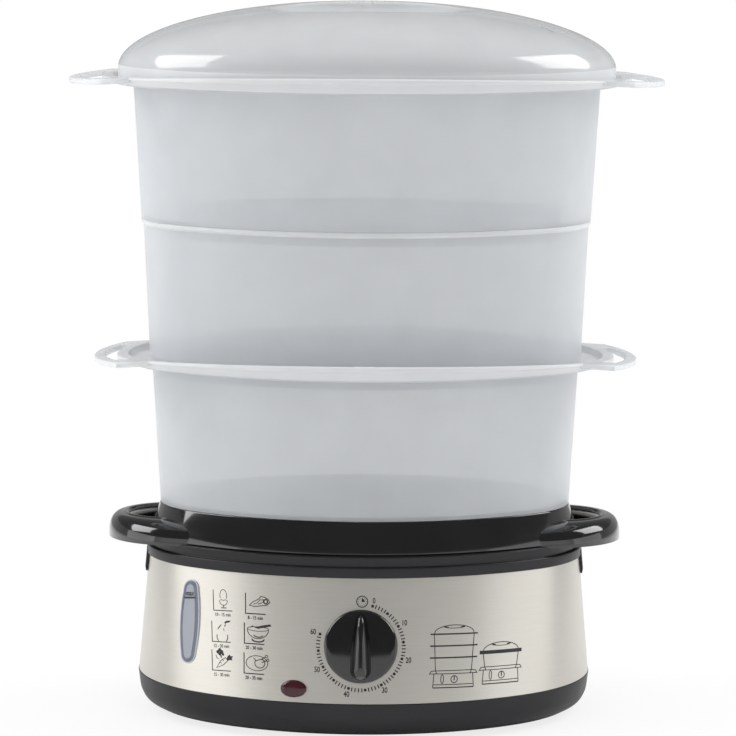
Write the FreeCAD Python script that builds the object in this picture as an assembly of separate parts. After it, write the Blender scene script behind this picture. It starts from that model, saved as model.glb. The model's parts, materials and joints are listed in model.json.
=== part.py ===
import FreeCAD, Part
import math
import os

# Electric food steamer: an oval stainless base with a 60 minute mechanical timer, a drip tray with
# two handles, three stacked translucent baskets with lift-out floors, and a domed lid.
# Millimetres, +Z up. The origin is the centre of the oval plan on the table; the panel faces -Y.

Vector = FreeCAD.Vector

# ------------------------------------------------------------------ driving dimensions
# An oval is given by its half width along X and half depth along Y. It is drawn with four tangent
# arcs on a 3-4-5 triangle, so an oval that is larger all round keeps the same arc centres.

# base housing
FOOT_LIFT = 2.8                  # plinth clear of the table
PLINTH_FOOT_X = 118.5            # half width of the plinth where it meets its floor
PLINTH_CURL_X = 124.6
PLINTH_CURL_Z = 6.0
PLINTH_TURN_X = 127.4            # where the plinth wall turns inwards
PLINTH_TURN_Z = 11.5
PLINTH_PROUD = 0.3
PIERCE = 6.0                     # cutting tools reach this far past the walls they pierce
BAND_LOW = (128.3, 105.0)        # outside of the steel band, lower edge
BAND_LOW_Z = 22.0
BAND_HIGH = (122.5, 85.0)        # outside of the steel band, upper edge
BAND_HIGH_Z = 88.5
BAND_WALL = 0.8
COLLAR_PROUD = 1.1               # collar stands this far out of the steel
COLLAR_Z = 100.0                 # top of the collar
COLLAR_STEP_Z = 94.3             # the collar steps in here
COLLAR_STEP = 1.8
SHELL_WALL = 2.4                 # moulded walls of plinth and tank
PLINTH_FLOOR_WALL = 3.0
COOLING_ROW_Y = 24.0             # two rows of cooling slots in the plinth floor
COOLING_STEPS = 3
COOLING_PITCH = 9.0
COOLING_SLOT = (3.0, 18.0)
LAMP_NOTCH_MARGIN = 1.5          # notch in the plinth lip behind the lamp
LIP_HEIGHT = 5.0                 # locating lips behind the steel
LIP_WALL = 1.8
LIP_GAP = 0.4
PLINTH_LIP_LEAN = 1.5            # the steel leans in this much behind the plinth lip
SIDE_TAB_LOW_Z = 78.0            # black tabs over the ends of the steel
SIDE_TAB_HIGH_Z = 91.5
SIDE_TAB_HALF_WIDTH = 9.0
SIDE_TAB_WALL = 1.4
SIDE_TAB_GAP = 0.3
SIDE_TAB_SLANT = 2.0             # each tab is this much narrower below, at either side

# water tank
TANK_MOUTH_X = 112.0
TANK_FLOOR_X = 90.0
TANK_FLOOR_Z = 34.0
TANK_WALL = 2.2

# feet and fasteners
FOOT_RADIUS = 9.5
FOOT_TAPER = 1.2
FOOT_STEM_RADIUS = 3.0
FOOT_BARB = 1.4                  # barb that holds the stem above the plinth floor
FOOT_BARB_TIP = -1.0
FOOT_BARB_HEIGHT = 2.6
FOOT_X = 80.0
FOOT_Y = 46.0
POST_RADIUS = 4.2
POST_SPLIT_Z = 30.0
POST_PLACES = [(70.0, 58.0), (-70.0, 58.0), (70.0, -58.0), (-70.0, -58.0), (0.0, 72.0)]
SCREW_RADIUS = 1.5
SCREW_HEAD_RADIUS = 2.9
SCREW_HEAD_HEIGHT = 1.8
SCREW_BITE = 8.0                 # thread in the part that the screw holds
SCREW_HOLE_DEPTH = 12.0
SCREW_CLEARANCE = 0.3
SCREW_SLOT = (4.4, 0.8, 0.8)     # length, width and depth of the driver slot

# heater
HEATER_HOLE_RADIUS = 31.0
HEATER_DOME_RADIUS = 30.4
HEATER_DOME_RISE = 2.0           # heater plate above the tank floor
HEATER_DOME_TAPER = 5.0
HEATER_FLANGE_RADIUS = 37.0
HEATER_PLATE_WALL = 1.4
SEAL_HEIGHT = 1.2
SEAL_GAP = 1.0                   # seal clear of the dome
TUBE_RING_RADIUS = 22.0
TUBE_RADIUS = 3.3
TUBE_OPENING_DEG = 60.0
PIN_RADIUS = 1.2
PIN_LENGTH = 8.0
BRACKET_HALF_LENGTH = 52.0
BRACKET_WIDTH = 14.0
BRACKET_WALL = 1.6
BRACKET_SCREW_X = 46.0
BRACKET_RIB_REACH = 10.0         # stiffening rib past the tube ring
BRACKET_RIB = 2.0
THERMOSTAT_RADIUS = 8.5
THERMOSTAT_GAP = 0.2
THERMOSTAT_CAP = 1.2             # height and inset of its cap
BLADE_LENGTH = 6.5
BLADE_WIDTH = 4.4
BLADE_WALL = 0.8
BLADE_LIFT = 1.0
FUSE_RADIUS = 2.2
FUSE_LENGTH = 14.0
FUSE_Y = 31.0
FUSE_LEAD_RADIUS = 0.6
FUSE_LEAD_LENGTH = 7.0

# steam ring round the heater
RING_FOOT_RADIUS = 45.0
RING_LOW_RADIUS = 42.0
RING_HIGH_RADIUS = 31.5
RING_HEIGHT = 49.0
RING_WALL = 1.8
RING_NOTCHES = 6
RING_NOTCH_WIDTH = 12.0
RING_NOTCH_HEIGHT = 7.0
RING_NOTCH_REACH = 8.0           # the notches start this far inside the cone's foot

# drip tray
TRAY_RIM = (116.1, 73.6)
TRAY_RIM_Z = 118.0
TRAY_FOOT_X = 122.9
TRAY_WALL = 2.3
TRAY_FLOOR_WALL = 2.4
TRAY_FLAT = 20.0                 # ring of the tray floor that is turned with its wall
TRAY_SPIGOT_DEPTH = 3.0
SPIGOT_GAP = 0.6                 # tray spigot inside the tank mouth
SPIGOT_SLOPE = 0.35              # follows the slope of the tank wall
SPIGOT_ROOT = 1.0                # thicker where it joins the floor
CHIMNEY_RADIUS = 40.0
CHIMNEY_TOP_RADIUS = 37.0
CHIMNEY_TOP_Z = 113.5
CHIMNEY_WALL = 2.0
HANDLE_PROUD = 22.8              # handles stand this far out of the tray's foot
HANDLE_RADIUS = 47.0             # plan radius of a handle's lower edge
HANDLE_TOP_RADIUS = 27.0         # plan radius of its upper edge
HANDLE_SHOULDER = 8.7            # its tip leans in by this much towards the top
HANDLE_LEAN = [(0.0, 0.0), (0.56, 0.17), (0.87, 0.5), (1.0, 1.0)]    # share of the height, of the lean
HANDLE_TOP_Z = 111.5
HANDLE_LOW_Z = 98.4
HANDLE_WALL = 3.0
HANDLE_CLEAR = 1.0               # handles above the collar
HANDLE_SEAM = 0.1                # handles clear of the tray wall that they are fixed to
HANDLE_ARCH_RADIUS = 1600.0      # lower edge of the handle rises a little towards the tray

# baskets, from below: half widths of the outer wall at foot and top
BASKET_WALL = 1.8
LOWER_FOOT_X = 116.1
LOWER_TOP_X = 120.7
MIDDLE_FOOT_X = 122.0
MIDDLE_TOP_X = 125.8
UPPER_FOOT_X = 126.8
UPPER_TOP_X = 131.3
LOWER_SHELF_Z = 198.0            # underside of the gutter round the rim
MIDDLE_TOP_Z = 279.5
UPPER_SHELF_Z = 355.6
SKIRT_DEPTH = 8.0                # collar that drops into the piece below
SKIRT_TAPER = 0.8
NEST_GAP = 0.4
BEAD = 1.0                       # bead round the middle basket's upper edge
BEAD_HEIGHT = 3.0
BEAD_FLARE = 0.2
LOWER_GUTTER = 134.7
UPPER_GUTTER = 143.0
GUTTER_FLARE = 1.6
RIM_CREST = 9.0                  # rim crown above the gutter's underside, at the middle of the front
RIM_DROOP = 4.5                  # the rim sinks this much towards its ends
LIP_PROUD = 2.0                  # rolled lip outside the gutter
LIP_THICK = 3.0
LOWER_LUG_PROUD = 14.6           # lugs stand this far out of the lip
UPPER_LUG_PROUD = 20.1
LUG_HALF_WIDTH = 47.0
LUG_BAR = 5.0                    # finger bar at the outside of a lug
LUG_HOLE_HALF_LENGTH = 34.0
LUG_WEB = 1.5                    # rim left between the lip and a finger opening

# lift-out floors
FLOOR_GAP = 0.5
FLOOR_WALL = 2.0
FLOOR_RIM = 7.0                  # plain rim round the slots
SLOT_LENGTH = 25.0
SLOT_WIDTH = 4.5
SLOT_PITCH_X = 34.0
SLOT_PITCH_Y = 17.0

# lid
LID_GAP = 1.3                    # lid skirt inside the gutter
LID_WALL = 1.8
LID_SKIRT_HEIGHT = 7.1
LID_RISE = 37.5
GRIP_HALF_LENGTH = 63.0
GRIP_HALF_WIDTH = 20.0
GRIP_OFFSET = 24.0               # centre of each finger scoop from the lid's long axis
GRIP_DEPTH = 9.0
VENT_PLACES = [(99.5, -29.3, -32.0), (118.5, 1.5, 0.0), (100.5, 31.0, 33.0)]
VENT_LENGTH = 10.0
VENT_WIDTH = 3.0

# timer, in the panel's own frame (x right, y up the panel, z out of it)
KNOB_X = -1.5
KNOB_Z = 52.0
KNOB_RADIUS = 20.3
KNOB_DISC = 6.5
KNOB_HEIGHT = 13.5
KNOB_GAP = 1.0
KNOB_WALL = 2.0
KNOB_CHAMFER = 1.8
KNOB_DISH = 1.0                  # sunk face inside the ring
KNOB_RING = 2.6                  # ring round the sunk face
KNOB_RING_SLOPE = 1.0
KNOB_SOCKET_WALL = 2.6
GRIP_TOP_Y = 17.2                # pointer end of the grip
GRIP_LOW_Y = -11.5
GRIP_WIDTH = 11.6
GRIP_TAPER = 1.3
GRIP_ROOT = 0.5                  # sunk into the face
GRIP_FULLNESS = 0.8              # bulge of the grip's sides at mid length
GRIP_MIDDLE = 0.45
SHAFT_RADIUS = 3.0
SHAFT_FIT = 0.05
SHAFT_FLAT = 0.8
SHAFT_HOLE_RADIUS = 5.0
SHAFT_DEPTH = 11.5               # shaft behind the panel
SHAFT_GRIP = 2.5                 # shaft past the knob's face
TIMER_SIDE = 40.0
TIMER_DEPTH = 17.0
TIMER_SETBACK = 2.6
TIMER_SCREW_X = 13.0
TIMER_SCREW_HEAD = 1.4
TIMER_SCREW_DEPTH = 8.5
TIMER_HOLE_GAP = 0.2
TIMER_CHAMFER = 4.0
TIMER_HUB_RADIUS = 4.0
TIMER_HUB = 1.0
SPACER_RADIUS = 3.0
SPACER_GAP = 0.9
BELL_RADIUS = 16.0
BELL_HEIGHT = 5.0
BELL_WALL = 0.8
BELL_TAPER = 2.0

# pilot lamp
LAMP_X = -38.3
LAMP_Z = 29.0
LENS_HALF_WIDTH = 7.3
LENS_HALF_HEIGHT = 4.8
LENS_RISE = 2.4
LENS_BARREL_INSET = 1.0
LENS_BARREL_DEPTH = 7.0
LENS_EDGE = 0.3                  # upright edge under the dome
LENS_OVERLAP = 0.6               # barrel sunk into the dome
LENS_SHOULDER = (0.4, 0.55)      # inset and share of the rise at the dome's shoulder
LENS_CROWN_INSET = 2.4
LENS_BORE = 0.4                  # front end of the hollow
LAMP_BULB_RADIUS = 2.6
LAMP_BULB_GAP = (0.6, 0.4)
LAMP_BULB_SETBACK = 0.3
LAMP_HOLDER_WALL = 0.9
LAMP_LENGTH = 15.0

# water level window
WINDOW_X = -97.0
WINDOW_Z = 59.0
WINDOW_TURN = 7.0                # degrees that its top leans towards the end of the base
WINDOW_WIDTH = 13.6
WINDOW_HEIGHT = 46.0
WINDOW_END = 10.2                # width at the roots of its round ends; the sides bow out between them
WINDOW_PROUD = 1.3
WINDOW_DEPTH = 8.0
WINDOW_WALL = 1.6
WINDOW_GAP = 0.2                 # round the chamber in the steel
WINDOW_EDGE = 0.3                # upright edge under the bevel
WINDOW_BEVEL = 2.8
GASKET_FLANGE = 2.2
GASKET_THICK = 1.2
GASKET_SETBACK = 1.4
GASKET_GAP = 0.05
HOSE_RADIUS = 3.8
HOSE_BORE = 2.4
HOSE_DROP = 14.0                 # hose below the window's middle
HOSE_LENGTH = 34.0               # before it is trimmed to the tank

# cord bush at the back
BUSH_Z = 38.0
BUSH_RADIUS = 7.0
BUSH_FLANGE_RADIUS = 9.0
BUSH_FLANGE = 2.0
BUSH_NOSE = 12.8
BUSH_TAIL = 6.0
BUSH_ROOT = (0.5, 0.8)           # outer flange starts here, body ends here
BUSH_NOSE_TAPER = 1.8
BUSH_GROOVE = (1.2, 3.0)         # inner flange from and to, behind the steel
BUSH_INNER_INSET = 0.6
BUSH_BORE = 3.6
BUSH_GAP = 0.1

# terminal block
TERMINAL_PLACE = (38.0, 66.0)
TERMINAL_SIZE = (26.0, 12.0, 11.0)
TERMINAL_WIRE_RADIUS = 2.2
TERMINAL_SCREW_RADIUS = 2.0
TERMINAL_WIRE_HEIGHT = 0.45      # share of the block's height


# ------------------------------------------------------------------ helpers
def grow(oval, by):
    """An oval larger by the same amount all round."""
    return (oval[0] + by, oval[1] + by)


def between(low, high, share):
    """The value or oval at a share of the way from low to high."""
    if isinstance(low, tuple):
        return tuple(between(l, h, share) for l, h in zip(low, high))
    return low + (high - low) * share


def arcs_of(oval):
    """The oval's four arcs, counter-clockwise from the right: centre, radius, start and sweep angle."""
    slim = oval[0] - oval[1]
    end_x = 1.5 * slim
    side_y = 2.0 * slim
    end_radius = oval[0] - end_x
    side_radius = oval[1] + side_y
    turn = math.degrees(math.atan2(side_y, end_x))
    return [
        (Vector(end_x, 0, 0), end_radius, -turn, 2 * turn),
        (Vector(0, -side_y, 0), side_radius, turn, 180 - 2 * turn),
        (Vector(-end_x, 0, 0), end_radius, 180 - turn, 2 * turn),
        (Vector(0, side_y, 0), side_radius, 180 + turn, 180 - 2 * turn),
    ]


def on_arc(arc, share, z=0.0):
    """The point at a share of an arc's sweep."""
    centre, radius, start, sweep = arc
    angle = math.radians(start + sweep * share)
    return centre + Vector(radius * math.cos(angle), radius * math.sin(angle), z)


def oval_wire(oval, z):
    edges = []
    for arc in arcs_of(oval):
        edges.append(Part.Arc(on_arc(arc, 0, z), on_arc(arc, 0.5, z), on_arc(arc, 1, z)).toShape())
    return Part.Wire(edges)


def ellipse_wire(half_width, half_depth, z):
    return Part.Wire([Part.Ellipse(Vector(0, 0, z), half_width, half_depth).toShape()])


def taper(low, low_z, high, high_z):
    """A solid oval that tapers between two heights."""
    return Part.makeLoft([oval_wire(low, low_z), oval_wire(high, high_z)], True, True)


def plate(oval, low_z, high_z):
    """A solid oval plate with upright sides."""
    return Part.Face(oval_wire(oval, low_z)).extrude(Vector(0, 0, high_z - low_z))


def ring(oval, outline):
    """A closed outline of (half width, height) points, carried round an oval."""
    sectors = []
    for centre, radius, start, sweep in arcs_of(oval):
        points = [Vector(radius + half_width - oval[0], 0, z) for half_width, z in outline]
        face = Part.Face(Part.makePolygon(points + points[:1]))
        sector = face.revolve(Vector(0, 0, 0), Vector(0, 0, 1), sweep)
        sector.rotate(Vector(0, 0, 0), Vector(0, 0, 1), start)
        sector.translate(centre)
        sectors.append(sector)
    return fuse(sectors).removeSplitter()


def box(x0, x1, y0, y1, z0, z1):
    return Part.makeBox(x1 - x0, y1 - y0, z1 - z0, Vector(x0, y0, z0))


def rod(radius, z0, z1, x=0.0, y=0.0):
    return Part.makeCylinder(radius, z1 - z0, Vector(x, y, z0))


def cone(radius0, z0, radius1, z1):
    return Part.makeCone(radius0, radius1, z1 - z0, Vector(0, 0, z0))


def fuse(shapes):
    return shapes[0].multiFuse(shapes[1:]) if len(shapes) > 1 else shapes[0]


def cut(shape, tools):
    return shape.cut(tools) if tools else shape


def oval_at(z):
    """Outside of the steel band at a height."""
    share = (z - BAND_LOW_Z) / (BAND_HIGH_Z - BAND_LOW_Z)
    return between(BAND_LOW, BAND_HIGH, share)


def band_point(x, z):
    """The point on the front of the steel band at x and z, with its arc and angle."""
    arcs = arcs_of(oval_at(z))
    for index in (3, 2, 0):
        centre, radius, start, sweep = arcs[index]
        ratio = (x - centre.x) / radius
        if abs(ratio) > 1.0:
            continue
        angle = 360.0 - math.degrees(math.acos(ratio))
        if start - 0.01 <= angle <= start + sweep + 0.01 or index == 0:
            return index, angle
    return 0, 0.0


def at_angle(index, angle, z):
    """The band's point on one of its arcs, at a plan angle."""
    centre, radius, start, sweep = arcs_of(oval_at(z))[index]
    turn = math.radians(angle)
    return centre + Vector(radius * math.cos(turn), radius * math.sin(turn), z)


def band_frame(x, z, rear=False):
    """Placement on the steel band: local x along it, local y up it, local z out of it."""
    index, angle = band_point(x, z)
    if rear:
        index, angle = 1, 360.0 - angle
    origin = at_angle(index, angle, z)
    turn = math.radians(angle)
    along = Vector(-math.sin(turn), math.cos(turn), 0)
    out = along.cross(at_angle(index, angle, z + 1.0) - origin).normalize()
    up = out.cross(along).normalize()
    matrix = FreeCAD.Matrix(
        along.x, up.x, out.x, origin.x,
        along.y, up.y, out.y, origin.y,
        along.z, up.z, out.z, origin.z,
        0, 0, 0, 1,
    )
    return FreeCAD.Placement(matrix)


def placed(shape, placement):
    moved = shape.copy()
    moved.Placement = placement.multiply(moved.Placement)
    return moved


def bowed_wire(width, height, end, z):
    """Outline of an upright bar with bowed sides and round ends, in a local frame."""
    half, root, top = width / 2.0, end / 2.0, height / 2.0
    shoulder = top - root
    corners = [Vector(root, -shoulder, z), Vector(root, shoulder, z), Vector(-root, shoulder, z),
               Vector(-root, -shoulder, z)]
    middles = [Vector(half, 0, z), Vector(0, top, z), Vector(-half, 0, z), Vector(0, -top, z)]
    arcs = [Part.Arc(corners[k], middles[k], corners[(k + 1) % 4]).toShape() for k in range(4)]
    return Part.Wire(arcs)


def window_wire(margin, z):
    """Outline of the window, larger by a margin all round."""
    return bowed_wire(WINDOW_WIDTH + 2 * margin, WINDOW_HEIGHT + 2 * margin, WINDOW_END + 2 * margin, z)


def window_bar(margin, z0, z1):
    return Part.Face(window_wire(margin, z0)).extrude(Vector(0, 0, z1 - z0))


def oval_plug(half_width, half_height, z0, z1):
    """A straight elliptic plug in a local frame."""
    return Part.Face(ellipse_wire(half_width, half_height, z0)).extrude(Vector(0, 0, z1 - z0))


PANEL = band_frame(KNOB_X, KNOB_Z)
LAMP_FRAME = band_frame(LAMP_X, LAMP_Z)
WINDOW_FRAME = band_frame(WINDOW_X, WINDOW_Z).multiply(
    FreeCAD.Placement(Vector(0, 0, 0), Vector(0, 0, 1), WINDOW_TURN))
BUSH_FRAME = band_frame(0.0, BUSH_Z, rear=True)

FLOOR_TOP_Z = FOOT_LIFT + PLINTH_FLOOR_WALL
HEATER_FLANGE_Z = TANK_FLOOR_Z - TANK_WALL - SEAL_HEIGHT
TUBE_TOP_Z = HEATER_FLANGE_Z - HEATER_PLATE_WALL
BRACKET_TOP_Z = TUBE_TOP_Z - 2 * TUBE_RADIUS


# ------------------------------------------------------------------ base
def plinth():
    """Black lower moulding: a pan with a floor, a lip behind the steel, posts and cooling slots."""
    lip_x = BAND_LOW[0] - BAND_WALL - LIP_GAP - PLINTH_LIP_LEAN
    lip_z = BAND_LOW_Z + LIP_HEIGHT
    inner_x = lip_x - LIP_WALL
    floor_x = PLINTH_FOOT_X - SHELL_WALL
    shell = ring(BAND_LOW, [
        (floor_x, FOOT_LIFT),
        (PLINTH_FOOT_X, FOOT_LIFT),
        (PLINTH_CURL_X, PLINTH_CURL_Z),
        (PLINTH_TURN_X, PLINTH_TURN_Z),
        (BAND_LOW[0] + PLINTH_PROUD, BAND_LOW_Z),
        (lip_x, BAND_LOW_Z),
        (lip_x, lip_z),
        (inner_x, lip_z),
        (inner_x, PLINTH_TURN_Z),
        (PLINTH_CURL_X - SHELL_WALL, PLINTH_CURL_Z + SHELL_WALL),
        (PLINTH_FOOT_X, FLOOR_TOP_Z),
        (floor_x, FLOOR_TOP_Z),
    ])
    floor = plate(grow(BAND_LOW, floor_x - BAND_LOW[0]), FOOT_LIFT, FLOOR_TOP_Z)
    posts = [rod(POST_RADIUS, FLOOR_TOP_Z, POST_SPLIT_Z, x, y) for x, y in POST_PLACES]
    shell = fuse([shell, floor] + posts).removeSplitter()
    head_top = FOOT_LIFT + SCREW_HEAD_HEIGHT + SCREW_CLEARANCE
    tools = []
    for x, y in POST_PLACES:
        tools.append(rod(SCREW_HEAD_RADIUS + SCREW_CLEARANCE, 0, head_top, x, y))
        tools.append(rod(SCREW_RADIUS + SCREW_CLEARANCE, 0, POST_SPLIT_Z + 1, x, y))
    for x, y in foot_places():
        tools.append(rod(FOOT_STEM_RADIUS + SHAFT_FIT, 0, FLOOR_TOP_Z + 1, x, y))
    for row in (-COOLING_ROW_Y, COOLING_ROW_Y):
        for step in range(-COOLING_STEPS, COOLING_STEPS + 1):
            x = step * COOLING_PITCH
            tools.append(box(x - COOLING_SLOT[0] / 2, x + COOLING_SLOT[0] / 2, row - COOLING_SLOT[1] / 2,
                             row + COOLING_SLOT[1] / 2, 0, FLOOR_TOP_Z + 1))
    notch = LENS_HALF_WIDTH + LAMP_NOTCH_MARGIN
    tools.append(box(LAMP_X - notch, LAMP_X + notch, -BAND_LOW[1], -BAND_LOW[1] / 2, BAND_LOW_Z, lip_z + 1))
    return cut(shell, tools)


def foot_places():
    return [(-FOOT_X, -FOOT_Y), (FOOT_X, -FOOT_Y), (-FOOT_X, FOOT_Y), (FOOT_X, FOOT_Y)]


def foot(x, y):
    """Rubber foot with a stem pressed through the plinth floor."""
    pad = Part.makeCone(FOOT_RADIUS - FOOT_TAPER, FOOT_RADIUS, FOOT_LIFT, Vector(x, y, 0))
    stem = rod(FOOT_STEM_RADIUS, FOOT_LIFT, FLOOR_TOP_Z, x, y)
    head = Part.makeCone(FOOT_STEM_RADIUS + FOOT_BARB, FOOT_STEM_RADIUS + FOOT_BARB_TIP, FOOT_BARB_HEIGHT,
                         Vector(x, y, FLOOR_TOP_Z))
    return fuse([pad, stem, head])


def screw(x, y, head_z, length, head_height=SCREW_HEAD_HEIGHT):
    """Pan-head screw driven upwards."""
    head = rod(SCREW_HEAD_RADIUS, head_z, head_z + head_height, x, y)
    shank = rod(SCREW_RADIUS, head_z + head_height, head_z + head_height + length, x, y)
    half_length, half_width = SCREW_SLOT[0] / 2, SCREW_SLOT[1] / 2
    slot = box(x - half_length, x + half_length, y - half_width, y + half_width,
               head_z, head_z + SCREW_SLOT[2])
    return fuse([head, shank]).cut(slot)


def base_screws():
    head_z = FOOT_LIFT + SCREW_CLEARANCE
    return [screw(x, y, head_z, POST_SPLIT_Z + SCREW_BITE - head_z) for x, y in POST_PLACES]


def steel_band():
    """Brushed steel band between plinth and collar, with its openings."""
    outside = taper(BAND_LOW, BAND_LOW_Z, BAND_HIGH, BAND_HIGH_Z)
    inner_low = grow(BAND_LOW, -BAND_WALL)
    inner_high = grow(BAND_HIGH, -BAND_WALL)
    band = outside.cut(taper(inner_low, BAND_LOW_Z, inner_high, BAND_HIGH_Z))
    tools = [
        placed(rod(SHAFT_HOLE_RADIUS, -PIERCE, PIERCE), PANEL),
        placed(rod(SCREW_RADIUS + TIMER_HOLE_GAP, -PIERCE, PIERCE, TIMER_SCREW_X, 0), PANEL),
        placed(rod(SCREW_RADIUS + TIMER_HOLE_GAP, -PIERCE, PIERCE, -TIMER_SCREW_X, 0), PANEL),
        placed(lens_barrel(SCREW_CLEARANCE), LAMP_FRAME),
        placed(window_bar(WINDOW_GAP, -PIERCE, PIERCE), WINDOW_FRAME),
        placed(rod(BUSH_RADIUS + BUSH_GAP, -PIERCE, PIERCE), BUSH_FRAME),
    ]
    return cut(band, tools)


def tank_wall_x(z):
    """Half width of the tank's outer face at a height."""
    share = (z - TANK_FLOOR_Z) / (COLLAR_Z - TANK_FLOOR_Z)
    return between(TANK_FLOOR_X, TANK_MOUTH_X, share) + TANK_WALL


def tank_body():
    """Black upper moulding: collar, deck, water tank, screw bosses and the two end tabs."""
    deck_z = COLLAR_Z - SHELL_WALL
    lip_x = BAND_HIGH[0] - BAND_WALL - LIP_GAP
    bottom_z = TANK_FLOOR_Z - TANK_WALL
    core_x = TANK_FLOOR_X - TANK_WALL
    shell = ring(BAND_HIGH, [
        (BAND_HIGH[0] + COLLAR_PROUD, BAND_HIGH_Z),
        (BAND_HIGH[0] + COLLAR_PROUD, COLLAR_STEP_Z),
        (BAND_HIGH[0] + COLLAR_PROUD - COLLAR_STEP, COLLAR_STEP_Z),
        (BAND_HIGH[0], COLLAR_Z),
        (TANK_MOUTH_X, COLLAR_Z),
        (TANK_FLOOR_X, TANK_FLOOR_Z),
        (core_x, TANK_FLOOR_Z),
        (core_x, bottom_z),
        (tank_wall_x(bottom_z), bottom_z),
        (tank_wall_x(deck_z), deck_z),
        (lip_x - LIP_WALL, deck_z),
        (lip_x - LIP_WALL, BAND_HIGH_Z - LIP_HEIGHT),
        (lip_x, BAND_HIGH_Z - LIP_HEIGHT),
        (lip_x, BAND_HIGH_Z),
    ])
    floor = plate(grow(BAND_HIGH, core_x - BAND_HIGH[0]), bottom_z, TANK_FLOOR_Z)
    water = tank_core(COLLAR_Z)
    bosses = []
    for x, y in POST_PLACES:
        bosses.append(rod(POST_RADIUS, POST_SPLIT_Z, deck_z, x, y).cut(water))
    for side in (-1, 1):
        bosses.append(rod(POST_RADIUS, BRACKET_TOP_Z, bottom_z, side * BRACKET_SCREW_X, 0))
    shell = fuse([shell, floor] + bosses + side_tabs()).removeSplitter()
    tools = [rod(HEATER_HOLE_RADIUS, 0, TANK_FLOOR_Z + 1)]
    for x, y in POST_PLACES:
        tools.append(rod(SCREW_RADIUS, POST_SPLIT_Z - 1, POST_SPLIT_Z + SCREW_HOLE_DEPTH, x, y))
    for side in (-1, 1):
        tools.append(rod(SCREW_RADIUS, BRACKET_TOP_Z - 1, bottom_z, side * BRACKET_SCREW_X, 0))
    tools.append(placed(hose_core(), WINDOW_FRAME))
    return cut(shell, tools)


def tank_core(top_z):
    """The space inside the tank's outer face, to trim what meets the tank from outside."""
    bottom_z = TANK_FLOOR_Z - TANK_WALL
    core_x = TANK_FLOOR_X - TANK_WALL
    skin = ring(BAND_HIGH, [
        (core_x, bottom_z),
        (tank_wall_x(bottom_z), bottom_z),
        (tank_wall_x(top_z), top_z),
        (core_x, top_z),
    ])
    return fuse([skin, plate(grow(BAND_HIGH, core_x - BAND_HIGH[0]), bottom_z, top_z)])


def side_tabs():
    """Tabs of the collar that lie over the steel at both ends."""
    rise = SIDE_TAB_HIGH_Z - SIDE_TAB_LOW_Z
    lean = oval_at(SIDE_TAB_LOW_Z)[0] - BAND_HIGH[0]
    inner_x = BAND_HIGH[0] + SIDE_TAB_GAP
    skin = ring(BAND_HIGH, [
        (inner_x, BAND_HIGH_Z),
        (inner_x + lean, SIDE_TAB_LOW_Z),
        (inner_x + lean + SIDE_TAB_WALL, SIDE_TAB_LOW_Z),
        (inner_x + SIDE_TAB_WALL, SIDE_TAB_LOW_Z + rise),
        (inner_x, SIDE_TAB_LOW_Z + rise),
    ])
    half = SIDE_TAB_HALF_WIDTH
    low_half = half - SIDE_TAB_SLANT
    corners = [
        (-half, SIDE_TAB_HIGH_Z), (half, SIDE_TAB_HIGH_Z),
        (low_half, SIDE_TAB_LOW_Z), (-low_half, SIDE_TAB_LOW_Z),
    ]
    tabs = []
    for side in (-1, 1):
        points = [Vector(side * BAND_HIGH[0] / 2, y, z) for y, z in corners]
        outline = Part.makePolygon(points + points[:1])
        tabs.append(skin.common(Part.Face(outline).extrude(Vector(side * BAND_HIGH[0], 0, 0))))
    return tabs


# ------------------------------------------------------------------ heater
def heater_plate():
    """Dished plate clamped under the tank floor; its dome stands in the water."""
    top = TANK_FLOOR_Z + HEATER_DOME_RISE
    flange = rod(HEATER_FLANGE_RADIUS, TUBE_TOP_Z, HEATER_FLANGE_Z)
    dome = fuse([
        rod(HEATER_DOME_RADIUS, HEATER_FLANGE_Z, TANK_FLOOR_Z),
        cone(HEATER_DOME_RADIUS, TANK_FLOOR_Z, HEATER_DOME_RADIUS - HEATER_DOME_TAPER, top),
    ])
    return fuse([flange, dome]).removeSplitter()


def heater_seal():
    """Silicone ring between the heater flange and the tank floor."""
    outer = rod(HEATER_FLANGE_RADIUS, HEATER_FLANGE_Z, HEATER_FLANGE_Z + SEAL_HEIGHT)
    inner = rod(HEATER_DOME_RADIUS + SEAL_GAP, HEATER_FLANGE_Z - 1, HEATER_FLANGE_Z + SEAL_HEIGHT + 1)
    return outer.cut(inner)


def heating_tube():
    """C-shaped sheathed element pressed under the heater plate, with its two connection pins."""
    z = TUBE_TOP_Z - TUBE_RADIUS
    sweep = 360.0 - TUBE_OPENING_DEG
    tube = Part.makeTorus(TUBE_RING_RADIUS, TUBE_RADIUS, Vector(0, 0, 0), Vector(0, 0, 1), 0, 360, sweep)
    tube.rotate(Vector(0, 0, 0), Vector(0, 0, 1), 90 + TUBE_OPENING_DEG / 2.0)
    tube.translate(Vector(0, 0, z))
    pins = []
    for side in (-1, 1):
        angle = math.radians(90 + side * TUBE_OPENING_DEG / 2.0)
        end = Vector(TUBE_RING_RADIUS * math.cos(angle), TUBE_RING_RADIUS * math.sin(angle), z)
        along = Vector(side * math.sin(angle), -side * math.cos(angle), 0)
        pins.append(Part.makeCylinder(PIN_RADIUS, PIN_LENGTH, end, along))
    return fuse([tube] + pins)


def thermostat():
    """Bimetal disc thermostat between the bracket and the heater plate."""
    cap_z = TUBE_TOP_Z - THERMOSTAT_CAP
    body = rod(THERMOSTAT_RADIUS, BRACKET_TOP_Z + THERMOSTAT_GAP, cap_z)
    cap = rod(THERMOSTAT_RADIUS - THERMOSTAT_CAP, cap_z, TUBE_TOP_Z)
    reach = THERMOSTAT_RADIUS + BLADE_LENGTH
    low = BRACKET_TOP_Z + BLADE_LIFT
    blades = box(-BLADE_WIDTH / 2, BLADE_WIDTH / 2, -reach, reach, low, low + BLADE_WALL)
    return fuse([body, cap, blades])


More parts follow.
